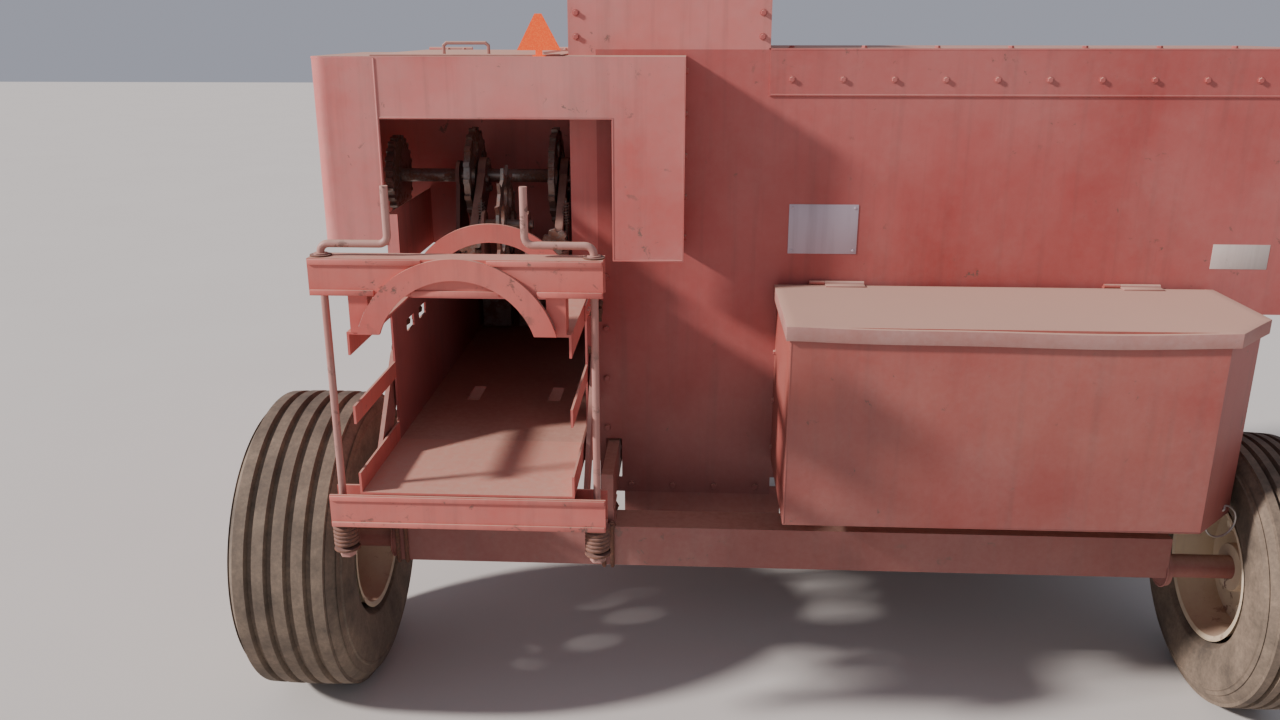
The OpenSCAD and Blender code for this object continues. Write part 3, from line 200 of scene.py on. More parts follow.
def tyre_rubber(name):
    """Carbon-black tyre rubber, greyed by sun and packed with soil dust."""
    material, add, place = new_material(name)
    clouds = add("TexNoise", dict(Vector=place, Scale=mm(120), Detail=6, Roughness=0.65))
    grit = add("TexNoise", dict(Vector=place, Scale=mm(9), Detail=6, Roughness=0.7))
    colour = add("Mix", {0: clouds, 6: "#23211F", 7: "#3C3834"}, **BLEND)
    soil = add("MapRange", [clouds, 0.32, 0.68, 0.25, 0.8])
    soil = add("Math", [soil, add("MapRange", [grit, 0.3, 0.7, 0.6, 1.1])], operation="MULTIPLY")
    return finish(material, {
        "Base Color": add("Mix", {0: soil, 6: colour, 7: "#9B8672"}, **BLEND),
        "Roughness": add("MapRange", [grit, 0.2, 0.8, 0.78, 0.95]),
        "Normal": add("Bump", dict(Strength=0.5, Distance=0.0008, Height=grit))})


def guard_plastic(name):
    """Black polyethylene driveline guard, rubbed grey."""
    material, add, place = new_material(name)
    clouds = add("TexNoise", dict(Vector=place, Scale=mm(90), Detail=4, Roughness=0.55))
    colour = add("Mix", {0: clouds, 6: "#191817", 7: "#2E2C2A"}, **BLEND)
    return finish(material, weathered(add, place, colour, 0.2, 0.5, 0.0, 0.48, 0.1, 0.0008))


def reflector_sheet(name):
    """Fluorescent orange reflector sheet with a bead grid, drawn coarser than real so that it shows; lighter
    bead centres are painted sparkle, and a painted emission makes it glow.
    """
    material, add, place = new_material(name)
    beads = add("TexVoronoi", dict(Vector=place, Scale=mm(3)))
    # Painted sparkle: bead centres lighter than their edges
    colour = add("Mix", {0: add("MapRange", [beads, 0, 0.6]), 6: "#FF7A3C", 7: "#F0551A"}, **BLEND)
    smears = add("TexNoise", dict(Vector=place, Scale=mm(30), Detail=4, Roughness=0.55))
    return finish(material, {
        "Base Color": colour,
        # Painted glow: the sheet gives off light of its own colour
        "Emission Color": colour,
        "Emission Strength": 0.35,
        "Roughness": add("MapRange", [smears, 0.3, 0.7, 0.3, 0.55]),
        "Normal": add("Bump", dict(Strength=0.3, Distance=0.0003, Height=beads))})


# Alkyd enamel sprayed on pressed sheet: satin red that the sun has chalked in clouds, with painted shade that
# darkens it near the ground
paint = faded_enamel("sun_faded_red_enamel", "#A8322E", "#B85652", 0.24, 0.62, 0.25,
                     low_dust=0.0, low_shade=0.6)
# The same enamel on the twine box: a little browner and evenly rubbed, with painted shade that darkens it
# towards the bottom
box_paint = faded_enamel("twine_box_red_enamel", "#A2332A", "#AC4F42", 0.24, 0.6, 0.2,
                         low_dust=0.0, low_shade=0.45)
# Enamel bleached on the sheets that see most sun: a pink red under a film of pale dust
hood_paint = faded_enamel("dusty_hood_red_enamel", "#CE504A", "#DE827C", 0.38, 0.8, 0.35)
# Enamel brushed on rolled channel: bright red, rubbed through to brown flecks at the edges
rail_paint = faded_enamel("rubbed_rail_red_enamel", "#C4423A", "#D2695C", 0.22, 0.6, 0.6, 0.4)
# Enamel over primer on welded box section: the red enamel painted darker as shade for the parts that lie in
# shade, matt and soiled
shaded_frame_paint = faded_enamel("shaded_frame_red_enamel", "#7E2A22", "#8E3C30", 0.3, 0.6, 0.6, 0.42)
# Enamelled sheet lids under a thick coat of chaff dust: a dry tan bloom over dull red
lid_paint = faded_enamel("dust_covered_lid_enamel", "#9C4A3C", "#A8665A", 0.62, 1.1, 0.2, 0.5)
# Enamel on sand-cast iron with old grease: brown red, dull and blotched
casting_paint = faded_enamel("greasy_casting_enamel", "#6E2A22", "#5A3428", 0.34, 0.6, 0.9, 0.5, 0.3, 0.001)
# Cream enamel on pressed wheels: warm off-white with many rust chips
wheel_paint = faded_enamel("cream_wheel_enamel", "#D8CCAE", "#C4B592", 0.22, 0.4, 0.8, 0.42)
# Grey enamel on thin flat plate: cool, even and clean next to the red
plate_paint = faded_enamel("bare_grey_plate", "#C0B2BE", "#CABDC8", 0.12, 0.3, 0.1, 0.4, 0.0, 0.0006)
# White lacquered foil: a small warm white patch, lightly soiled
label_white = faded_enamel("bare_white_sticker", "#D8CFC8", "#C9BDB4", 0.16, 0.2, 0.0, 0.4, 0.0, 0.0004)
# Enamel on the bent screw handles, thinned by hands: paler, chipped and a little shinier
handle_paint = faded_enamel("hand_worn_handle_enamel", "#A05A50", "#B98478", 0.3, 0.5, 1.0, 0.34)
# Rolled steel that crop keeps polished: soft silver with brown between the rubbed places
rubbed_steel = worn_steel("crop_polished_steel", "#9A948C", "#6F675F", 0.45)
# Bare drawn bar and wire: brown rust with a little dull steel showing
rusty_steel = worn_steel("rusty_bar_steel", "#8C7F74", "#5E5048", 0.95, 0.7)
# Zinc-plated steel after years outside: pale grey, half matt, with faint rust
zinc = worn_steel("weathered_zinc_steel", "#B9B6B0", "#8E8B86", 0.18, 0.8, 0.2, 0.5)
# Moulded tyre rubber: grey black, matt, with soil in the grooves
rubber = tyre_rubber("dusty_tyre_rubber")
# Blow-moulded polyethylene: near black, faintly shiny under the dust
guard = guard_plastic("black_guard_plastic")
# Beaded vinyl sheet: an orange with painted sparkle on its beads and a painted glow
orange = reflector_sheet("orange_reflector_sheet")

FINISHES = (  # material, slot, nodes that take it
    (paint, "red_paint", "bale_case plunger_case flywheel_shield feeder_wall feeder_roof side_drive_shield"),
    (box_paint, "red_paint", "twine_box"),
    (hood_paint, "red_paint", "plunger_cover feeder_tower knotter_hood knotter_shield"),
    (rail_paint, "red_paint", "chamber_rails chamber_bows tension_bars"),
    (shaded_frame_paint, "dark_red_paint", "main_frame axle pickup_frame needle_yoke tongue"),
    (lid_paint, "dusty_lid", "twine_lid knotter_lid"),
    (casting_paint, "cast_iron", "gearbox flywheel knotter_frame"),
    (wheel_paint, "wheel_paint", "left_rim right_rim"),
    (plate_paint, "zinc_steel", ""),
    (label_white, "wheel_paint", ""),
    (handle_paint, "rusty_steel", "tension_screws"),
    (rubbed_steel, "worn_steel",
     "plunger plunger_drive feeder_deck feeder_rail pickup_strippers knotter_shaft measuring_wheel"),
    (rusty_steel, "rusty_steel", "tension_springs pickup_reel windguard hitch_clevis"),
    (zinc, "zinc_steel", "feeder_carriage jack"),
    (rubber, "tyre_rubber", "left_tyre right_tyre gauge_wheel"),
    (guard, "shield_plastic", "driveline"),
    (orange, "reflector", "triangle_reflector"),
)
for material, slot, names in FINISHES:
    for name in names.split():
        nodes[name].data.materials.clear()
        nodes[name].data.materials.append(material)


# Ways of making pieces: sizes are in millimetres, places and directions in the frame's metres
def alone(piece):
    """Leaves only this piece selected and active."""
    bpy.ops.object.select_all(action="DESELECT")
    piece.select_set(True)
    bpy.context.view_layer.objects.active = piece


def begin_shaping(piece, whole=False):
    """Opens a piece in edit mode by its vertices, with nothing or the whole of it selected."""
    alone(piece)
    bpy.ops.object.mode_set(mode="EDIT")
    bpy.ops.mesh.select_mode(type="VERT")
    bpy.ops.mesh.select_all(action="SELECT" if whole else "DESELECT")


def end_shaping():
    """Closes edit mode."""
    bpy.ops.object.mode_set(mode="OBJECT")


def close_seams():
    """Merges doubled vertices of the selection and turns its faces outward."""
    bpy.ops.mesh.remove_doubles(threshold=0.00001)
    bpy.ops.mesh.normals_make_consistent(inside=False)


def draw_out(x, y, z):
    """Extrudes the selection by a step in metres."""
    bpy.ops.mesh.extrude_region_move(TRANSFORM_OT_translate={"value": (x, y, z)})


def pick_faces(piece, wanted):
    """Selects the faces whose middle and normal the test wants."""
    bpy.ops.mesh.select_mode(type="FACE")
    bpy.ops.mesh.select_all(action="DESELECT")
    mesh = bmesh.from_edit_mesh(piece.data)
    for face in mesh.faces:
        face.select = wanted(face.calc_center_median(), face.normal)
    mesh.select_flush(True)
    mesh.select_flush_mode()
    bmesh.update_edit_mesh(piece.data)


def panelled(piece, direction, border, step, raised):
    """Presses a raised panel into the side of a sheet that looks along a direction."""
    begin_shaping(piece)
    pick_faces(piece, lambda place, normal: normal.dot(Vector(direction)) > 0.9)
    for width in (border, step):
        bpy.ops.mesh.inset(thickness=width / 1000, use_even_offset=True)
    bpy.ops.transform.translate(value=Vector(direction) * raised / 1000)
    end_shaping()


def apply_modifiers(piece):
    """Applies every modifier of a piece, in order."""
    alone(piece)
    for modifier in list(piece.modifiers):
        bpy.ops.object.modifier_apply(modifier=modifier.name)


def rounded(piece, width, segments=2, limit=35):
    """Rounds the edges sharper than the limit, in degrees."""
    bevel = piece.modifiers.new("edge", "BEVEL")
    bevel.width = width / 1000
    bevel.segments = segments
    bevel.limit_method = "ANGLE"
    bevel.angle_limit = radians(limit)
    apply_modifiers(piece)


def settle(piece):
    """Puts a piece's place, turn and scale into its mesh."""
    alone(piece)
    bpy.ops.object.transform_apply(location=True, rotation=True, scale=True)


def moved(piece, place, turn=Matrix()):
    """Turns a part round the origin and moves it to its place in the frame."""
    piece.data.transform(Matrix.Translation(place) @ turn)
    return piece


def facing(direction):
    """The turn that points a piece's +Z along a direction."""
    return Vector(direction).to_track_quat("Z", "Y").to_matrix().to_4x4()


def block(x0, x1, y0, y1, z0, z1, edge=0.0):
    """A block between working sizes, with rounded edges."""
    low, high = at(x0, y0, z0), at(x1, y1, z1)
    bpy.ops.object.select_all(action="DESELECT")
    bpy.ops.mesh.primitive_cube_add(size=1, location=(low + high) / 2)
    piece = bpy.context.object
    piece.scale = high - low
    settle(piece)
    if edge:
        rounded(piece, edge)
    return piece


def plate(outline, thickness, edge=1.5):
    """A flat plate across X from an outline of (Y, Z) in millimetres, standing at the origin."""
    bpy.ops.object.select_all(action="DESELECT")
    bpy.ops.mesh.primitive_circle_add(vertices=len(outline), radius=1, fill_type="NGON")
    piece = bpy.context.object
    for vertex, (y, z) in zip(piece.data.vertices, outline):
        vertex.co = (-thickness / 2000, y / 1000, z / 1000)
    begin_shaping(piece, whole=True)
    draw_out(thickness / 1000, 0, 0)
    bpy.ops.mesh.select_all(action="SELECT")
    bpy.ops.mesh.normals_make_consistent(inside=False)
    end_shaping()
    rounded(piece, edge, 1)
    return piece


ORIGIN = (0, 0, 0)
TURN = {"x": (0, pi / 2, 0), "y": (-pi / 2, 0, 0), "z": (0, 0, 0)}


def turned(profile, middle, axis, steps=48, closed=False):
    """A turned piece: a circle drawn out ring by ring along its profile of (radius, distance) pairs."""
    bpy.ops.object.select_all(action="DESELECT")
    bpy.ops.mesh.primitive_circle_add(vertices=steps, radius=profile[0][0] / 1000,
                                      fill_type="NOTHING" if closed else "NGON",
                                      location=(0, 0, profile[0][1] / 1000))
    piece = bpy.context.object
    settle(piece)
    begin_shaping(piece, whole=True)
    was_radius, was_height = profile[0]
    for radius, height in profile[1:] + (profile[:1] if closed else []):
        draw_out(0, 0, (height - was_height) / 1000)
        if radius != was_radius:
            share = radius / was_radius
            bpy.ops.transform.resize(value=(share, share, 1), center_override=(0, 0, height / 1000))
        was_radius, was_height = radius, height
    bpy.ops.mesh.select_all(action="SELECT")
    close_seams()
    end_shaping()
    piece.rotation_euler = TURN[axis]
    piece.location = middle
    settle(piece)
    return piece


def hoop(profile, middle, axis, steps=48):
    """A turned piece whose profile closes on itself."""
    return turned(profile, middle, axis, steps, closed=True)


def mirrored(profile):
    """The other half of a profile that is the same on both sides."""
    return [(radius, -distance) for radius, distance in reversed(profile)]


def rod(points, radius, sides=8, smooth=0, closed=False, ripple=None):
    """A round rod through working points, or vectors in metres; smooth rounds its bends, ripple swells it."""
    places = [point if isinstance(point, Vector) else at(*point) for point in points]
    curve = bpy.data.curves.new("rod", "CURVE")
    curve.dimensions = "3D"
    curve.bevel_depth = radius / 1000
    curve.bevel_resolution = max(0, sides // 4 - 1)
    curve.use_fill_caps = not closed
    spline = curve.splines.new("BEZIER" if smooth else "POLY")
    if smooth:
        spline.bezier_points.add(len(places) - 1)
        for spot, place in zip(spline.bezier_points, places):
            spot.co = place
            spot.handle_left_type = spot.handle_right_type = "AUTO"
        spline.resolution_u = smooth
    else:
        spline.points.add(len(places) - 1)
        for index, (spot, place) in enumerate(zip(spline.points, places)):
            spot.co = (*place, 1)
            spot.radius = ripple[index] if ripple else 1.0
    spline.use_cyclic_u = closed
    piece = bpy.data.objects.new("rod", curve)
    bpy.context.scene.collection.objects.link(piece)
    alone(piece)
    bpy.ops.object.convert(target="MESH")
    return bpy.context.object


def coil_spring(foot, length, radius, wire, turns):
    """A coil spring standing on its foot: a wire's circle screwed round its axis."""
    bpy.ops.object.select_all(action="DESELECT")
    bpy.ops.mesh.primitive_circle_add(vertices=10, radius=wire / 1000, fill_type="NGON",
                                      rotation=(pi / 2, 0, 0), location=(radius / 1000, 0, 0))
    piece = bpy.context.object
    settle(piece)
    coil = piece.modifiers.new("coil", "SCREW")
    coil.axis = "Z"
    coil.angle = 2 * pi * turns
    coil.screw_offset = (length - 2 * wire) / 1000
    coil.steps = coil.render_steps = 24 * turns
    coil.iterations = 1
    apply_modifiers(piece)
    begin_shaping(piece, whole=True)
    close_seams()
    end_shaping()
    return moved(piece, Vector(foot) + Vector((0, 0, wire / 1000)))


def copies(model, places):
    """Copies of a model piece, each with its own mesh, at the given matrices; the model goes."""
    made_copies = []
    for place in places:
        twin = model.copy()
        twin.data = model.data.copy()
        twin.data.transform(place)
        bpy.context.scene.collection.objects.link(twin)
        made_copies.append(twin)
    bpy.data.objects.remove(model)
    return made_copies


def joined(pieces):
    """Joins pieces into the first one."""
    bpy.ops.object.select_all(action="DESELECT")
    for piece in pieces:
        piece.select_set(True)
    bpy.context.view_layer.objects.active = pieces[0]
    if len(pieces) > 1:
        bpy.ops.object.join()
    return bpy.context.object


def dress(parts, name, body, material, replaces=(), angle=35):
    """Joins parts to a finished piece, names and smooths it, and gives it its finish and its body."""
    piece = joined(parts)
    piece.name = name
    piece.data.name = name
    piece.data.materials.clear()
    piece.data.materials.append(material)
    alone(piece)
    bpy.ops.object.shade_smooth_by_angle(angle=radians(angle))
    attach(piece, body)
    if replaces:
        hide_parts(*replaces)


def made(body, material, *replaces, angle=35):
    """Makes a piece of the parts that the function below it yields, and names it as the function."""
    def build(parts_of):
        dress(list(parts_of()), parts_of.__name__, body, material, replaces, angle)
    return build


# Rows and rings of bolts, rivets and weld beads
def hex_bolt(size):
    """A bolt head on its washer, standing on the origin along +Z; size is the thread in millimetres."""
    washer, head = [[(size * r, size * z) for r, z in shares] for shares in (
        ((0.5, 0), (1.08, 0), (1.08, 0.14), (0.5, 0.16)), ((0.86, 0.14), (0.86, 0.62), (0.74, 0.76)))]
    return joined([hoop(washer, ORIGIN, "z", 12), turned(head, ORIGIN, "z", 6)])


def placed(model, points):
    """Copies of a model at working points, each with the direction that its top turns to."""
    return copies(model, [Matrix.Translation(at(*point)) @ facing(direction) for point, direction in points])


def spots(direction, points):
    """Gives every point the same direction."""
    return [(point, direction) for point in points]


def bolts(size, direction, points):
    """Bolt heads at working points, all turned the same way."""
    return placed(hex_bolt(size), spots(direction, points))


def row(start, end, count):
    """Evenly spaced points from start to end."""
    first, last = Vector(start), Vector(end)
    return [tuple(first.lerp(last, step / (count - 1))) for step in range(count)]


def arc(middle, axis, radius, first, last, count):
    """Evenly spaced points on an arc round an axis, from the first to the last angle in degrees."""
    points = []
    for step in range(count):
        angle = radians(first + (last - first) * step / (count - 1))
        u, v = radius * cos(angle), radius * sin(angle)
        offset = {"x": (0, u, v), "y": (u, 0, v), "z": (u, v, 0)}[axis]
        points.append(tuple(a + b for a, b in zip(middle, offset)))
    return points


def ring(middle, axis, radius, count, first=0):
    """Evenly spaced points on a full circle round an axis."""
    return arc(middle, axis, radius, first, first + 360, count + 1)[:-1]


def weld_bead(path, radius):
    """A rippled weld bead along working points, half sunk in the corner."""
    points = [Vector(point) for point in path]
    drops = []
    for start, end in zip(points, points[1:]):
        steps = max(2, int((end - start).length / (radius * 0.9)))
        drops += [tuple(start.lerp(end, step / steps)) for step in range(steps)]
    drops.append(tuple(points[-1]))
    return rod(drops, radius, ripple=[1.0 + 0.16 * sin(index * 1.9) for index in range(len(drops))])


LEFT, RIGHT, REAR, FRONT, UP = (-1, 0, 0), (1, 0, 0), (0, -1, 0), (0, 1, 0), (0, 0, 1)
SIDES = (-1, 1)
CASE_OUT = 233.5
CRANK = (2301, 898)
GEAR_X = -143
LEFT_AXLE = (460, 385)
RIGHT_AXLE = (460, 350)
REEL = (1560, 370)


# Tyres: ribbed implement tread with notched shoulders
def ribbed_tyre(name, body, middle, radius, width, bead, notches):
    """An implement tyre with five ribs, notched at the shoulders, around a rim of radius bead."""
    half = width / 2
    step = width / 11
    tall = radius - bead
    wall = [(bead + share * tall + extra, -half * wide - proud) for share, extra, wide, proud in (
        (0, 0, 0.62, 0), (0, 8, 0.8, 0), (0, 16, 0.88, 0), (0, 17, 0.88, 2.5), (0, 21, 0.9, 2.5),
        (0, 23, 0.92, 0), (0.42, 0, 1, 0), (0.62, 0, 0.99, 0), (0.7, 0, 0.975, 0), (0.71, 0, 0.97, 2.2),
        (0.735, 0, 0.965, 2.2), (0.75, 0, 0.955, 0), (1, -30, 0.93, 0), (1, -12, 0.84, 0), (1, -5, 0.78, 0))]
    tread = []
    for rib in range(5):
        start = -4.3 * step + rib * 1.84 * step
        for distance, depth in ((0.0, 4), (0.06, 0), (1.14, 0), (1.2, 4), (1.32, 13), (1.72, 13)):
            droop = 5 * ((start + distance * step) / half) ** 2
            tread.append((radius - depth - droop, start + distance * step))
    past_last_rib = 2
    tyre = hoop(wall + tread[:-past_last_rib] + mirrored(wall), ORIGIN, "z", notches * 2)
    begin_shaping(tyre)

    def on_shoulder(place, normal):
        sector = int((atan2(place.y, place.x) % (2 * pi)) / (pi / notches))
        outer = hypot(place.x, place.y) > (radius - 26) / 1000
        return sector % 2 == 0 and outer and 0.7 * half / 1000 < abs(place.z) < 0.95 * half / 1000

    pick_faces(tyre, on_shoulder)
    bpy.ops.mesh.inset(thickness=0.0025, use_even_offset=True)
    bpy.ops.transform.resize(value=(1 - 7 / radius, 1 - 7 / radius, 1), center_override=ORIGIN)
    end_shaping()
    tyre.rotation_euler = TURN["x"]
    tyre.location = middle
    settle(tyre)
    dress([tyre], name, body, rubber, [name.replace("_ribbed", "")], 30)


RIM_R = 190
ribbed_tyre("left_tyre_ribbed", "left_wheel", at(-475, *LEFT_AXLE), 385, 280, RIM_R, 60)
ribbed_tyre("right_tyre_ribbed", "right_wheel", at(1897, *RIGHT_AXLE), 350, 190, RIM_R, 54)

# Tension springs as real coils
SCREW_X = 280
SCREW_Y = 30
SPRING_LOW = 574
SPRING_TOP = 640


@made("baler", rusty_steel, "tension_springs")
def pressure_springs():
    """The coils below the tension bars, each between two seats."""
    for x in (-SCREW_X, SCREW_X):
        yield coil_spring(at(x, SCREW_Y, SPRING_LOW + 5), 56, 23.5, 4.8, 5)
        for low in (SPRING_LOW, SPRING_TOP - 5):
            yield hoop([(11, 0), (28, 0), (29, 1.5), (28, 5), (11, 5)], at(x, SCREW_Y, low), "z", 32)


# Pickup reel: tine bars on spiders, with coiled wire tines
REEL_LEFT = 300
REEL_RIGHT = 1900
REEL_WIDTH = REEL_RIGHT - REEL_LEFT
BAR_RING = 130
TINE_BARS = 5
TINE_COUNT = 24
BAR_TURNS = [bar * 360 / TINE_BARS for bar in range(TINE_BARS)]


def wire_tine():
    """One spring tine: three turns round its bar, a straight shank and a swept tip."""
    points = []
    for step in range(25):
        a = radians(150 - step * 45)
        points.append((step * 0.9 - 14, 16 * cos(a) + BAR_RING, 16 * sin(a)))
    points += [(8.5, 150, -16), (9, 190, -6), (9, 222, -12), (9, 255, -34)]
    return rod([Vector(point) / 1000 for point in points], 2.9, sides=4)


@made("pickup_reel", rusty_steel, "pickup_reel", angle=40)
def wire_tined_reel():
    """The reel's shaft, bars, spiders and tines."""
    shaft = [(17, 0), (20, 3), (20, REEL_WIDTH + 10), (17, REEL_WIDTH + 13)]
    yield turned(shaft, at(REEL_LEFT - 7, *REEL), "x", 24)
    for middle in ring((REEL_LEFT + 10, *REEL), "x", BAR_RING, TINE_BARS):
        yield turned([(9, 0), (12, 0), (12, REEL_WIDTH - 20), (9, REEL_WIDTH - 20)], at(*middle), "x", 14)
    for x in (REEL_LEFT + 20, REEL_LEFT + REEL_WIDTH / 3, REEL_LEFT + 2 * REEL_WIDTH / 3, REEL_RIGHT - 28):
        spider = [hoop([(20, -4), (50, -4), (50, 4), (20, 4)], ORIGIN, "x", 30)]
        for turn in BAR_TURNS:
            arm = plate([(40, -30), (130, -21), (145, -15), (151, 0), (145, 15), (130, 21), (40, 30)], 8)
            spider.append(moved(arm, ORIGIN, Matrix.Rotation(radians(turn), 4, "X")))
        yield moved(joined(spider), at(x, *REEL))
    pitch = REEL_WIDTH / TINE_COUNT
    places = []
    for turn in BAR_TURNS:
        swung = Matrix.Rotation(radians(turn), 4, "X")
        places += [Matrix.Translation(at(REEL_LEFT + (number + 0.5) * pitch, *REEL)) @ swung
                   for number in range(TINE_COUNT)]
    yield from copies(wire_tine(), places)


# Windguard: bent round rods on a tube
GUARD_Y = 1620
GUARD_Z = 800
GUARD_RODS = 12


@made("windguard", rusty_steel, "windguard")
def windguard_rods():
    """The windguard's tube with its bent rods and their clamps."""
    yield turned([(12, 0), (15, 2), (15, 1620), (12, 1622)], at(REEL_LEFT - 11, GUARD_Y, GUARD_Z), "x", 20)
    for x, y, z in row((REEL_LEFT + 45, GUARD_Y, GUARD_Z), (REEL_RIGHT - 45, GUARD_Y, GUARD_Z), GUARD_RODS):
        bends = ((2, -16), (-60, -36), (-128, -58), (-210, -58), (-296, -56), (-346, -36))
        yield rod([(x, y + dy, z + dz) for dy, dz in bends], 5, smooth=4)
        yield hoop([(15.2, -9), (19, -9), (19, 9), (15.2, 9)], at(x, y, z), "x", 20)


# Twine box lid: thin sheet that has sagged at its rear edge
LID_LEFT, LID_RIGHT = 688, 1798
LID_REAR, LID_FRONT = 208, 614
LID_LOW, LID_TOP = 1013, 1048.5
LID_CORNER = 117
LID_SAG = 0.0085


@made("twine_lid", lid_paint, "twine_lid", angle=40)
def sagged_twine_lid():
    """The twine box's lid: bent sheet with a lip on three sides, sagged at the rear, on two hinge tabs."""
    low, high = at(LID_LEFT + 2, LID_REAR + 2, 0), at(LID_RIGHT - 2, LID_FRONT, 0)
    middle = (low.x + high.x) / 2
    bpy.ops.object.select_all(action="DESELECT")
    bpy.ops.mesh.primitive_grid_add(x_subdivisions=48, y_subdivisions=18, size=1)
    lid = bpy.context.object
    lid.scale = (high.x - low.x, high.y - low.y, 1)
    lid.location = (middle, (low.y + high.y) / 2, LID_TOP / 1000)
    settle(lid)
    begin_shaping(lid, whole=True)
    corner = at(LID_RIGHT - 2, LID_REAR + 2 + LID_CORNER, 0)
    bpy.ops.mesh.bisect(plane_co=corner, plane_no=(1, -1, 0), clear_outer=True)
    bpy.ops.mesh.select_all(action="DESELECT")
    bpy.ops.mesh.select_mode(type="EDGE")
    bpy.ops.mesh.select_non_manifold()
    for edge in bmesh.from_edit_mesh(lid.data).edges:
        if edge.select and min(v.co.y for v in edge.verts) > high.y - 0.001:
            edge.select = False
    bmesh.update_edit_mesh(lid.data)
    draw_out(0, 0, -(LID_TOP - LID_LOW - 2) / 1000)
    end_shaping()
    for vertex in lid.data.vertices:
        across = 1 - min(1.0, abs(vertex.co.x - middle) / 0.52) ** 2
        back = max(0.0, 1 - (vertex.co.y - low.y) / 0.4) ** 1.5
        wave = 0.25 * sin(vertex.co.x * 9.0 + 1.1)
        vertex.co.z -= LID_SAG * across * back * (1 + wave)
    sheet = lid.modifiers.new("sheet", "SOLIDIFY")
    sheet.thickness = 0.003
    sheet.offset = -1
    apply_modifiers(lid)
    rounded(lid, 1.2, 2, 50)
    yield lid
    for x in (820, 1566):
        yield hoop([(3.2, 0), (6, 0), (6, 100), (3.2, 100)], at(x, 620, 1052.5), "x", 20)
        yield block(x, x + 100, 590, 616, LID_TOP, LID_TOP + 4, 1)


# Bolts
def case_sides(y, z0, z1, count):
    """Points up both sides of the bale case."""
    return [(point, (side, 0, 0)) for side in SIDES
            for point in row((side * CASE_OUT, y, z0), (side * CASE_OUT, y, z1), count)]


BELLY_BOLTS = [(point, (side, 0, 0)) for side in SIDES
               for point in arc((side * CASE_OUT, *CRANK), "x", 434, 62, 150, 6)]
BAND_BOLTS = [(point, Vector(point) - Vector((GEAR_X, 2776, CRANK[1])))
              for point in arc((GEAR_X, 2776, CRANK[1]), "y", 353, -12, 192, 7)]
FRAME_BOLTS = [((side * 286, y + dy, z), (side, 0, 0)) for side in SIDES
               for y in (729, 1384, CRANK[0]) for dy in (-22, 22) for z in (528, 572)]
FINGER_BOLTS = [((x, y - 0.5, 1166 + dz), REAR) for x in (620, 1020, 1420) for y in (750, 920, 1090)
                for dz in (0, 22)]
ROLLER_NUTS = [((x + dx, y, 1414), (0, side, 0)) for x in (600, 1320) for dx in (30, 90)
               for y, side in ((880, -1), (980, 1))]
STRIPPER_BOLTS = [((REEL_LEFT + band * REEL_WIDTH / TINE_COUNT, 1272, 683.2), (0, 0.38, 0.925))
                  for band in range(1, TINE_COUNT)]
BOLTS = (  # name, body, thread, painted, points with their directions
    ("roof_flange_bolts", "baler", 8, True, spots(REAR, row((715, 627, 1560), (1955, 627, 1560), 11))),
    ("roof_top_bolts", "baler", 8, True, spots(UP, row((715, 668, 1633), (1955, 668, 1633), 8))),
    ("tower_bolts", "baler", 8, True,
     spots(REAR, row((186, 630, 1660), (186, 630, 1826), 4) + row((641, 630, 1660), (641, 630, 1826), 4))
     + spots(LEFT, row((166, 1090, 1822), (166, 1460, 1822), 4))
     + spots(LEFT, row((166, 1474, 1150), (166, 1474, 1740), 5))),
    ("hood_side_bolts", "baler", 8, True, spots(RIGHT, row((456, 612, 1170), (456, 612, 1580), 5))),
    ("shield_bolts", "baler", 8, False, spots(LEFT, row((-445, 934, 1200), (-445, 934, 1580), 3))),
    ("wall_edge_bolts", "baler", 10, True,
     spots(REAR, row((254, 630, 640), (254, 630, 1060), 4) + row((320, 630, 472), (660, 630, 472), 4))),
    ("box_side_bolts", "baler", 8, True, spots(LEFT, row((700, 608, 600), (700, 608, 1000), 4))
     + spots(RIGHT, row((1786, 608, 600), (1786, 608, 1000), 4))),
    ("case_rib_bolts", "baler", 10, False,
     case_sides(345, 760, 1040, 4) + case_sides(1465, 760, 1040, 4) + case_sides(1530, 760, 1040, 4)),
    ("cover_edge_bolts", "baler", 8, False, BELLY_BOLTS),
    ("shield_band_bolts", "baler", 8, True, BAND_BOLTS),
    ("gearbox_cover_bolts", "baler", 12, False,
     spots(RIGHT, ring((-90, *CRANK), "x", 166, 10) + ring((-70, *CRANK), "x", 92, 6, 30))),
    ("input_flange_bolts", "baler", 12, False, spots(FRONT, ring((GEAR_X, 2763, CRANK[1]), "y", 84, 8, 22))),
    ("frame_bolts", "baler", 14, False, FRAME_BOLTS),
    ("drive_shield_bolts", "baler", 8, False,
     spots(LEFT, [(-295.5, 2301, 1014), (-295.5, 2410, 850), (-295.5, 1760, 1046), (-295.5, 1250, 985),
                  (-295.5, 1036, 1206)])),
    ("finger_bolts", "feeder_carriage", 8, False, FINGER_BOLTS),
    ("roller_nuts", "feeder_carriage", 12, False, ROLLER_NUTS),
    ("stripper_bolts", "pickup", 6, False, STRIPPER_BOLTS),
    ("reel_bearing_bolts", "pickup", 10, False,
     spots(LEFT, ring((294, *REEL), "x", 44, 4, 45) + [(294, 1235, 640)])
     + spots(RIGHT, ring((1906, *REEL), "x", 44, 4, 45) + [(1906, 1235, 640)])),
    ("left_wheel_nuts", "left_wheel", 14, False, spots(LEFT, ring((-549, *LEFT_AXLE), "x", 84, 6, 30))),
    ("right_wheel_nuts", "right_wheel", 14, False, spots(RIGHT, ring((1926, *RIGHT_AXLE), "x", 84, 6, 30))),
    ("clevis_bolts", "tongue", 14, False, spots(RIGHT, row((-103, 4530, 480), (-103, 4600, 480), 2))
     + spots(LEFT, row((-183, 4530, 480), (-183, 4600, 480), 2))),
)
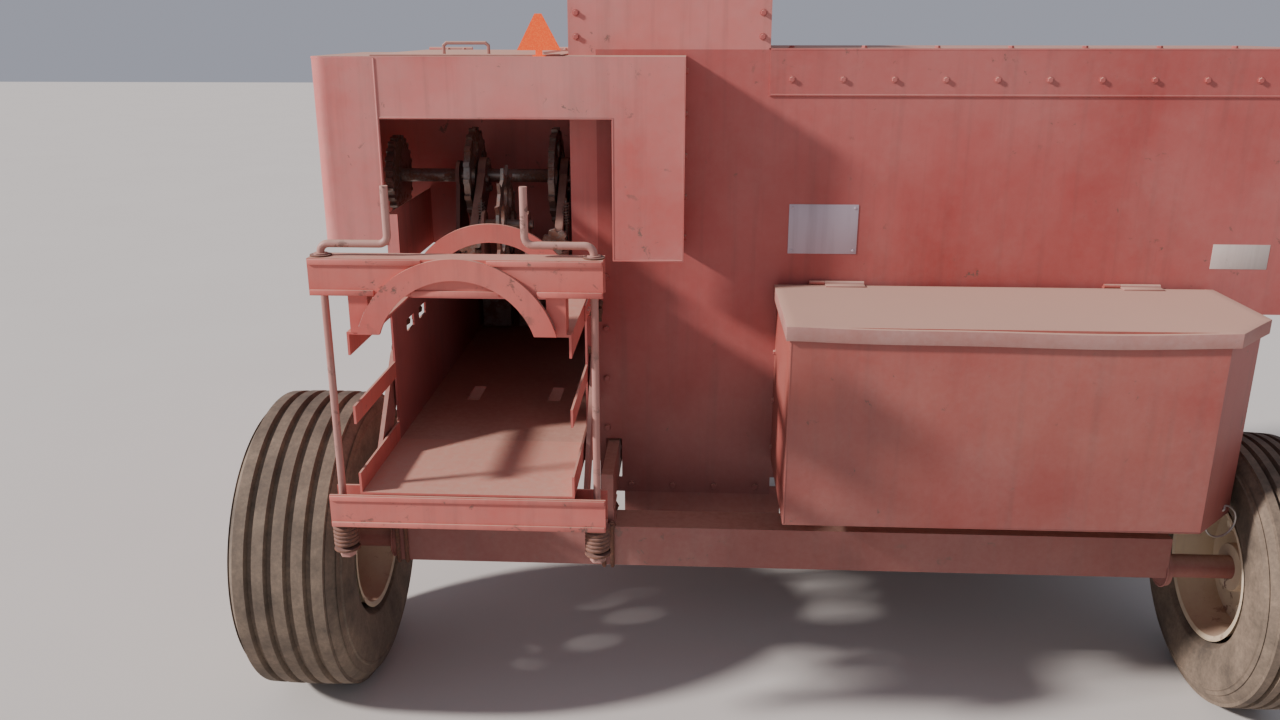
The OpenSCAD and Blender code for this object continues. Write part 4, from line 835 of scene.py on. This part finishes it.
for name, body, thread, painted, points in BOLTS:
    dress(placed(hex_bolt(thread), points), name, body, paint if painted else rusty_steel)

BAR_LIPS = (  # X range and Z of the lips on the rear face of the two tension bars, clear of the hoop
    (-299, -66, 1230), (66, 299, 1230), (-299, -166, 1167), (-90, 90, 1167), (166, 299, 1167),
    (-299, 299, 708), (-299, 299, 647),
)


@made("baler", rail_paint)
def bar_lips():
    """The turned lips that make the tension bars read as channels from behind."""
    for x0, x1, z in BAR_LIPS:
        yield block(x0, x1, -4.5, 0.5, z - 6, z + 6, 2)


# Rolled sheet edges: the rounded folds that catch the light along the housing, hood, box and tower
ROLL_RADIUS = 3.6
SHIELD_TOP = ((-284, 508.2), (-405, 508.2), (-420, 511), (-433, 520), (-440.5, 532), (-441.8, 545),
              (-441.8, 957))
SHIELD_FOOT = ((-284, 507.5), (-405, 507.5), (-420, 510.5), (-433, 519.5), (-441, 532), (-442.5, 545),
               (-442.5, 957))
ROLLED_EDGES = (  # name, material, lines of points in millimetres
    ("hood_rolls", hood_paint, (
        [(-279, 508.2, 1612.6), (452, 508.2, 1612.6), (452.6, 628, 1612.6)],
        [(452.8, 508.2, 1131), (452.8, 508.2, 1610)],
        [(-280, 507.5, 1474), (283.5, 507.5, 1474), (283.5, 507.5, 1131), (453, 507.5, 1131)])),
    ("shield_rolls", hood_paint, (
        [(x, y, 1612.6) for x, y in SHIELD_TOP],
        [(-283.5, 506.5, 1166), (-283.5, 506.5, 1612)],
        [(x, y, 1165.5) for x, y in SHIELD_FOOT])),
    ("roof_rolls", paint, (
        [(664, 629.8, 1629.6), (1997, 629.8, 1629.6)],
        [(664, 629.3, 1522.5), (1997, 629.3, 1522.5)],
        [(664, 1498, 1132.5), (1997, 1498, 1132.5)])),
    ("tower_rolls", hood_paint, (
        [(169.4, 633.4, 1846.2), (657.6, 633.4, 1846.2), (657.6, 1496.6, 1846.2), (169.4, 1496.6, 1846.2),
         (169.4, 633.4, 1846.2)],
        [(169.4, 633.4, 1640), (169.4, 633.4, 1844)],
        [(657.6, 633.4, 1640), (657.6, 633.4, 1844)])),
    ("box_rolls", box_paint, (
        [(702.6, 628, 562.5), (702.6, 222.6, 562.5), (1663, 222.6, 562.5), (1783.4, 343, 562.5),
         (1783.4, 628, 562.5)],
        [(702.6, 222.6, 564), (702.6, 222.6, 1012)])),
)
for name, material, lines in ROLLED_EDGES:
    dress([rod(line, ROLL_RADIUS, sides=12) for line in lines], name, "baler", material, angle=60)

# Weld beads where thick pieces meet
WELDS = [  # radius, line of points in millimetres
    (2, [(-CASE_OUT + 34, 300, 1081), (-CASE_OUT + 34, 20, 1081)]),
    (2.5, [(-202, -1, 1095), (-190, -1, 1122), (-166, -1, 1159)]),
    (2.5, [(166, -1, 1159), (190, -1, 1122), (202, -1, 1095)]),
    (2.5, [(-203, 384, 1082), (-160, 384, 1082)]),
    (2.5, [(160, 384, 1082), (203, 384, 1082)]),
    (3, [(-286, 408, 452), (-256, 408, 452)]),
    (3, [(256, 419, 452), (286, 419, 452)]),
    (3, [(286, 422, 452), (286, 498, 452)]),
    (3, [(-286, 422, 452), (-286, 498, 452)]),
    (3, [(286, 422, 499), (286, 498, 499)]),
    (3, [(-286, 422, 499), (-286, 498, 499)]),
    (3, ring((-301, *LEFT_AXLE), "x", 53, 20) + [(-301, 513, 385)]),
    (3, ring((1701, *RIGHT_AXLE), "x", 53, 20) + [(1701, 513, 350)]),
    (2.5, [(1580, 511, 350), (1580, 511, 440)]),
    (3, [(-286, 2762, 545), (-286, 2790, 545)]),
    (3, [(286, 2762, 545), (286, 2790, 545)]),
]
dress([weld_bead(line, radius) for radius, line in WELDS], "frame_welds", "baler", shaded_frame_paint, angle=60)


# Blank plates and the ring on the twine box
def rivet(size):
    """A domed rivet head standing on the origin; size is its radius in millimetres."""
    return turned([(size, 0), (size * 0.92, size * 0.3), (size * 0.6, size * 0.52)], ORIGIN, "z", 8)


RIVETS = spots(REAR, [(x, 628.2, z) for x in (731, 888) for z in (1136, 1245)])
dress([block(722, 897, 628.4, 630.4, 1127, 1254, 1)] + placed(rivet(3.5), RIVETS), "grey_wall_plate", "baler",
      plate_paint)
dress([block(1786, 1926, 629.4, 630.4, 1098, 1161, 1)], "white_wall_plate", "baler", label_white)


@made("baler", zinc, angle=60)
def wire_ring():
    """A wire ring that hangs from a staple under the twine box's cut corner."""
    across = Vector((1, 0.25, 0)).normalized()
    turns = [radians(step * 10) for step in range(36)]
    loop = [0.041 * (cos(a) * across + sin(a) * Vector(UP)) for a in turns]
    yield rod([at(1757, 316, 548) + offset for offset in loop], 2.6, closed=True)
    yield rod([(1752, 322, 566), (1753, 316, 575), (1756, 309, 581), (1760, 318, 588)], 3, smooth=4)


# Wheels: drop-centre rims, dished discs with hand holes, hubs, valves, and the gauge wheel's tyre
WHEELS = (  # name, body, node that it replaces, X of its middle, axle (Y, Z), tyre width, outer side
    ("left_wheel_disc", "left_wheel", "left_rim", -475, LEFT_AXLE, 280, -1),
    ("right_wheel_disc", "right_wheel", "right_rim", 1897, RIGHT_AXLE, 190, 1),
)


def wheel_disc(name, body, node, x, axle, width, side):
    """One painted wheel: rim, dished disc with six hand holes, hub, cap and valve."""
    half = width / 2
    middle = at(x, *axle)
    rim_side = [(189, half - 16), (180, half - 20), (178, half - 40), (164, half - 62)]
    inner_side = [(159, half - 64), (173, half - 40), (175, half - 18), (184, half - 14)]
    rim = hoop(rim_side + mirrored(rim_side) + mirrored(inner_side) + inner_side, middle, "x", 72)
    place = side * (half - 70)
    face = [(50, 4), (100, 4), (116, 9), (142, 9), (156, 3), (163, -5)]
    back = [(r, z - 7) for r, z in reversed(face)]
    dish = hoop([(r, place + side * z) for r, z in face + back], ORIGIN, "x", 72)
    cutters = joined([turned([(17, -20), (17, 20)], Vector(point) / 1000, "x", 20)
                      for point in ring((place, 0, 0), "x", 129, 6, 30)])
    holes = dish.modifiers.new("holes", "BOOLEAN")
    holes.object = cutters
    holes.solver = "EXACT"
    apply_modifiers(dish)
    bpy.data.objects.remove(cutters)
    moved(dish, middle)
    hub_side = [(31, -45), (60, -45), (62, -42)]
    hub = hoop([(r, place + z) for r, z in hub_side + mirrored(hub_side)], middle, "x", 40)
    cap = turned([(40, 0), (40, 12), (37, 18), (28, 21), (8, 22)], ORIGIN, "z", 32)
    moved(cap, middle + Vector((side * (half - 25) / 1000, 0, 0)), facing((side, 0, 0)))
    stem = ((62, 0.02, 0.158), (44, 0.022, 0.150), (26, 0.022, 0.146))
    stem = [middle + Vector((side * (half - inward) / 1000, y, z)) for inward, y, z in stem]
    dress([rim, dish, hub, cap, rod(stem, 4, smooth=3)], name, body, wheel_paint, [node])


for wheel in WHEELS:
    wheel_disc(*wheel)

GAUGE = (1952.5, 1470, 193)


@made("gauge_wheel", rubber, "gauge_wheel")
def gauge_tyre():
    """The pickup gauge wheel's small three-ribbed tyre."""
    half = [(142, 18), (146, 27), (160, 31.5), (174, 31), (184, 26), (188, 22),
            (188, 17), (182, 16), (182, 12), (189.5, 11), (190, 6), (183, 5)]
    yield hoop(half + mirrored(half), at(*GAUGE), "x", 72)


@made("gauge_wheel", wheel_paint)
def gauge_wheel_disc():
    """The gauge wheel's pressed rim, web, hub and nuts."""
    for steps, profile in ((60, [(118, 25), (142, 27), (142, -27), (118, -25), (121, -20), (121, 20)]),
                           (60, [(38, 3), (70, 8), (96, 8), (120, 2), (120, -2), (96, 4), (70, 4), (38, -3)]),
                           (32, [(12.2, 32), (30, 32), (40, 26), (40, -26), (30, -32), (12.2, -32)])):
        yield hoop(profile, at(*GAUGE), "x", steps)
    yield from bolts(10, RIGHT, ring((1960.5, 1470, 193), "x", 82, 5))


# Knotters: bill hooks, twine discs, stripper arms and springs below the two cast frames
KNOTTERS_X = (-86, 134)
DISC_NOTCHES = 6


def twine_disc():
    """A notched twine disc across Y, at the origin."""
    outline = []
    for step in range(DISC_NOTCHES * 4):
        angle = step * pi / (DISC_NOTCHES * 2)
        radius = 24 if step % 4 == 3 else 33
        outline.append((radius * cos(angle), radius * sin(angle)))
    return plate(outline, 5, 0.6)


@made("baler", rubbed_steel)
def knotter_works():
    """The working parts of both knotters, whose shafts stand at x."""
    for x in KNOTTERS_X:
        yield rod([(x, 585, 1106), (x, 580, 1094), (x, 566, 1090), (x, 548, 1094)], 5.2, 8, 4)
        yield rod([(x + 3, 582, 1101), (x + 3, 568, 1099), (x + 2, 550, 1101)], 3.2, 8, 3)
        yield turned([(8, 0), (27, 4), (30, 10), (27, 14), (8, 16)], at(x, 585, 1126), "z", 30)
        for y in (542, 553):
            yield moved(twine_disc(), at(x, y, 1168), Matrix.Rotation(pi / 2, 4, "Z"))
        arm = [(0, 0), (26, 8), (30, 40), (58, 66), (96, 78), (96, 88), (52, 78), (18, 48), (12, 18), (-2, 8)]
        yield moved(plate(arm, 6), at(x + 14, 552, 1092))
        yield coil_spring(at(x + 16, 648, 1190), 62, 8.5, 1.4, 8)
        yield rod([(x + 16, 648, 1150), (x + 16, 648, 1262)], 3)
        yield from bolts(8, RIGHT, [(x + 10, 640, 1166), (x + 10, 700, 1222), (x + 10, 752, 1268)])
        yield from bolts(10, RIGHT, ring((x + 10, 790, 1300), "x", 36, 4, 10))


@made("knotter_lid", lid_paint, "knotter_lid")
def knotter_cover():
    """The knotter lid: sheet with a raised panel, a folded rear edge, a bent handle and hinge barrels."""
    sheet = block(-302, 160, 535, 953, 1616.4, 1619.4)
    panelled(sheet, UP, 45, 6, 4.5)
    rounded(sheet, 1.2)
    yield sheet
    yield rod([(-300, 537, 1617.6), (158, 537, 1617.6)], 3.4, 12)
    yield rod([(-125, 556, 1617), (-125, 556, 1640), (-118, 556, 1646), (-24, 556, 1646), (-17, 556, 1640),
               (-17, 556, 1617)], 4.2, 10)
    for x in (-220, 60):
        yield hoop([(3.2, 0), (6, 0), (6, 80), (3.2, 80)], at(x, 968, 1624), "x", 20)
        yield block(x, x + 80, 936, 963, 1618.6, 1623, 1)
        yield from bolts(6, UP, [(x + 18, 944, 1623), (x + 62, 944, 1623)])


# Small fittings of the chamber, axle, drive, tongue and jack
@made("baler", rusty_steel)
def axle_u_bolts():
    """Four U-bolts that clamp the axle beam, with their nuts and plates."""
    bend = ((404, 470), (404, 345), (409, 337), (511, 337), (516, 345), (516, 470))
    for x in (-282, -260, 260, 282):
        yield rod([(x, y, z) for y, z in bend], 5.5, 10)
    for x in (-271, 271):
        for y in (404, 516):
            yield block(x - 19, x + 19, y - 9, y + 9, 452, 458, 1)
            yield from bolts(10, UP, [(x - 11, y, 458), (x + 11, y, 458)])


@made("baler", rail_paint)
def splice_plates():
    """Plates that join the rails to the bale case, with their bolts, and the hoops' and bars' lugs."""
    for side in SIDES:
        low, high = sorted((side * CASE_OUT, side * (CASE_OUT + 5)))
        yield block(low, high, 262, 378, 1040, 1078, 1)
        yield from bolts(8, (side, 0, 0), [(side * (CASE_OUT + 5), y, 1059) for y in (276, 300, 340, 364)])
        low, high = sorted((side * 162, side * 205))
        yield block(low, high, 396, 424, 1081, 1085, 1)
        yield block(low, high, 395, 399, 1083, 1108, 1)
        yield from bolts(8, UP, [(side * 174, 412, 1085), (side * 194, 412, 1085)])


@made("baler", rusty_steel)
def hay_dogs():
    """Four sprung hay dogs on the case's upper side slots: hooked dogs, pivot lugs and coil springs."""
    for side in SIDES:
        for y in (440, 560):
            x = side * (CASE_OUT + 7)
            low, high = sorted((side * CASE_OUT, side * (CASE_OUT + 14)))
            yield moved(plate([(0, 0), (58, -6), (64, 6), (30, 20), (4, 16)], 8), at(x, y + 4, 968))
            yield block(low, high, y - 4, y + 4, 958, 990, 1)
            spring = coil_spring(ORIGIN, 44, 5.5, 1.2, 7)
            yield moved(spring, at(x, y + 12, 992), facing((0, 1, 0.1)))


@made("flywheel", rusty_steel)
def clutch_springs():
    """Springs and heads of the flywheel's slip clutch, and its collar."""
    springs = spots(FRONT, ring((GEAR_X, 2939, CRANK[1]), "y", 86, 6))
    yield from placed(coil_spring(ORIGIN, 26, 10.5, 2.2, 4), springs)
    yield from bolts(10, FRONT, ring((GEAR_X, 2965, CRANK[1]), "y", 86, 6))
    yield hoop([(46, 0), (58, 0), (58, 20), (52, 24), (46, 24)], at(GEAR_X, 2941, CRANK[1]), "y", 36)


@made("baler", casting_paint)
def gearbox_fittings():
    """Cast ribs, filler plug, drain and breather of the gearbox."""
    for step in range(6):
        yield moved(plate([(98, -5), (150, -4), (180, -3), (180, 3), (150, 4), (98, 5)], 12), at(-86, *CRANK),
                    Matrix.Rotation(radians(18 + 60 * step), 4, "X"))
    yield from placed(hex_bolt(22), [((-160, CRANK[0], 1062), UP), ((-88, CRANK[0] + 60, 792), RIGHT)])
    yield turned([(9, 0), (9, 14), (15, 18), (15, 28), (11, 33)], at(-150, CRANK[0] - 60, 1068), "z", 20)


DRIVE_DROP = radians(-7.93)
DRIVE_LENGTH = 1363


@made("tongue", guard)
def drive_guard_ribs():
    """Ribs of the driveline guard's cone, its bearing rings and the seams along its tube."""
    parts = []
    for distance, radius in ((-46, 96), (-24, 87), (-2, 78), (20, 68), (42, 58), (64, 49)):
        rib = [(radius - 5, -3), (radius + 1, -2), (radius + 1, 2), (radius - 5, 3)]
        parts.append(hoop(rib, (0, distance / 1000, 0), "y", 48))
    for distance, radius in ((96, 37), (DRIVE_LENGTH * 0.5, 46), (DRIVE_LENGTH * 0.5 + 56, 46),
                             (DRIVE_LENGTH - 72, 37)):
        bearing = [(radius - 2, -4), (radius + 3, -3), (radius + 3, 5), (radius - 2, 6)]
        parts.append(hoop(bearing, (0, distance / 1000, 0), "y", 40))
    for angle in (radians(45 + 90 * step) for step in range(4)):
        x, z = 0.0395 * cos(angle), 0.0395 * sin(angle)
        parts.append(rod([Vector((x, 0.1, z)), Vector((x, 0.67, z))], 2.2, 6))
    yield moved(joined(parts), at(GEAR_X, 3090, CRANK[1]), Matrix.Rotation(DRIVE_DROP, 4, "X"))


JACK_X = -293
JACK_Y = 4250


@made("jack", zinc)
def jack_fittings():
    """The jack's gear cap, crank grip, foot ribs, pull pin and pin holes' collars."""
    yield turned([(30, 0), (38, 3), (38, 20), (30, 26), (12, 28)], at(JACK_X, JACK_Y, 782), "z", 32)
    grip = [(12, 0), (14, 4), (13, 30), (14.5, 56), (13, 82), (10, 88)]
    yield turned(grip, at(JACK_X - 130, JACK_Y, 796), "z", 20)
    yield turned([(10, 0), (13, 0), (13, 12), (10, 12)], at(JACK_X - 143, JACK_Y, 790), "x", 18)
    for step in range(4):
        yield moved(plate([(30, 0), (74, 0), (30, 46)], 5, 1), at(JACK_X, JACK_Y, 8),
                    Matrix.Rotation(radians(45 + 90 * step), 4, "Z"))
    yield rod([(JACK_X + 62, JACK_Y, 516), (JACK_X + 62, JACK_Y, 532), (JACK_X + 66, JACK_Y, 538)], 4)
    yield rod(ring((JACK_X + 66, JACK_Y, 550), "x", 13, 18, -90), 1.8, 6, closed=True)
    for z in (240, 330, 620, 700):
        yield hoop([(31, -5), (34, -3), (34, 3), (31, 5)], at(JACK_X, JACK_Y, z), "z", 32)


@made("baler", rusty_steel)
def screw_threads():
    """Rolled threads at the lower ends of the two tension screws, with flat washers under the handles."""
    for x in (-SCREW_X, SCREW_X):
        yield coil_spring(at(x, SCREW_Y, 555), 19.5, 7.8, 0.8, 8)
        yield hoop([(8.4, 0), (22, 0), (22, 3), (8.4, 3)], at(x, SCREW_Y, 1237), "z", 28)


@made("pickup", shaded_frame_paint)
def pickup_swages():
    """Pressed rings and bearing flanges on the pickup's sides; the left hub is low, clear of the frame."""
    for x, side, hub in ((294, -1, 6), (1906, 1, 20)):
        for radius in (118, 176):
            yield rod(ring((x, *REEL), "x", radius, 48), 4, closed=True)
        flange = [(22, 0), (60, 0), (62, 2), (62, 4), (38, 5), (34, hub), (22, hub)]
        yield moved(hoop(flange, ORIGIN, "z", 36), at(x, *REEL), facing((side, 0, 0)))


@made("tongue", rusty_steel)
def universal_joint():
    """Journal caps of the driveline's front joint, with the sliding lock ring of its hub."""
    for direction in (LEFT, RIGHT):
        cap = turned([(24, 0), (24, 2), (20, 3), (17, 6), (6, 7)], ORIGIN, "z", 28)
        yield moved(cap, at(GEAR_X + 40 * direction[0], 4450, 710), facing(direction))
    for direction in (UP, (0, 0, -1)):
        cap = turned([(19, 0), (19, 3), (15, 6), (5, 7)], ORIGIN, "z", 28)
        yield moved(cap, at(GEAR_X, 4478, 710 + 12 * direction[2]), facing(direction))
    yield hoop([(39, 0), (44, 2), (45, 5), (45, 19), (44, 22), (39, 24)], at(GEAR_X, 4520, 710), "y", 40)
    yield from bolts(8, UP, [(GEAR_X, 4508, 749)])


@made("baler", hood_paint)
def tower_door():
    """The service door on the tower's front, with two hinges and a turn latch."""
    door = block(216, 611, 1498, 1503, 1290, 1800, 1.5)
    panelled(door, FRONT, 40, 8, 5)
    yield door
    for z in (1370, 1660):
        yield hoop([(2.5, 0), (6, 0), (6, 70), (2.5, 70)], at(214, 1505, z), "z", 18)
        yield block(216, 246, 1502, 1505, z + 5, z + 65, 1)
        yield from bolts(6, FRONT, [(232, 1505, z + 18), (232, 1505, z + 52)])
    yield turned([(9, 0), (16, 0), (16, 4), (9, 9), (6, 10)], at(590, 1503, 1545), "y", 28)
    yield block(585, 595, 1511, 1517, 1520, 1570, 2.5)


@made("baler", shaded_frame_paint)
def wall_skirt():
    """The folded foot of the rear wall between the bale case and the twine box, behind the axle."""
    yield block(300, 730, 632.5, 636, 386, 472, 1)
    yield rod([(301, 635, 386), (729, 635, 386)], 5, 12)


TONGUE_WELDS = (  # lines of points in millimetres, at the stand, the clevis, the jack stub and the pivot
    [(-183, 4299, 541), (-103, 4299, 541)],
    [(-183, 4313, 541), (-103, 4313, 541)],
    [(-182, 4581, 509), (-104, 4581, 509)],
    [(-182, 4581, 451), (-104, 4581, 451)],
    [(-194, 4234, 480), (-194, 4239, 469), (-194, 4250, 464), (-194, 4261, 469), (-194, 4266, 480)],
    [(-185, 3167, 525), (-101, 3167, 525)],
)
dress([weld_bead(line, 2.6) for line in TONGUE_WELDS], "tongue_welds", "tongue", shaded_frame_paint, angle=60)

# Floor and light
bpy.ops.mesh.primitive_plane_add(size=60, location=(0, 0, -0.0005))
floor = bpy.context.object
floor.name = "floor"
# Smooth screed: an even pale grey, matt
screed, add, place = new_material("pale_studio_floor")
clouds = add("TexNoise", dict(Vector=place, Scale=mm(900), Detail=3, Roughness=0.55))
shade = add("Mix", {0: clouds, 6: "#CFCAC4", 7: "#D6D1CB"}, **BLEND)
floor.data.materials.append(finish(screed, {"Base Color": shade, "Roughness": 0.9}))

# A soft key from the upper left, low to the wall as in the photograph, and pale light all round
SUN_TRAVEL = Vector((0.84, 0.25, -0.50))
sun = bpy.data.lights.new("key", "SUN")
sun.energy = 5.4
sun.angle = radians(5)
sun.color = (1.0, 0.94, 0.92)
key = bpy.data.objects.new("key", sun)
key.rotation_euler = SUN_TRAVEL.to_track_quat("-Z", "Y").to_euler()
bpy.context.scene.collection.objects.link(key)
world = bpy.data.worlds.new("studio")
bpy.context.scene.world = world
world.use_nodes = True
background = world.node_tree.nodes["Background"]
background.inputs[0].default_value = linear("#D9DCEC")
background.inputs[1].default_value = 0.5
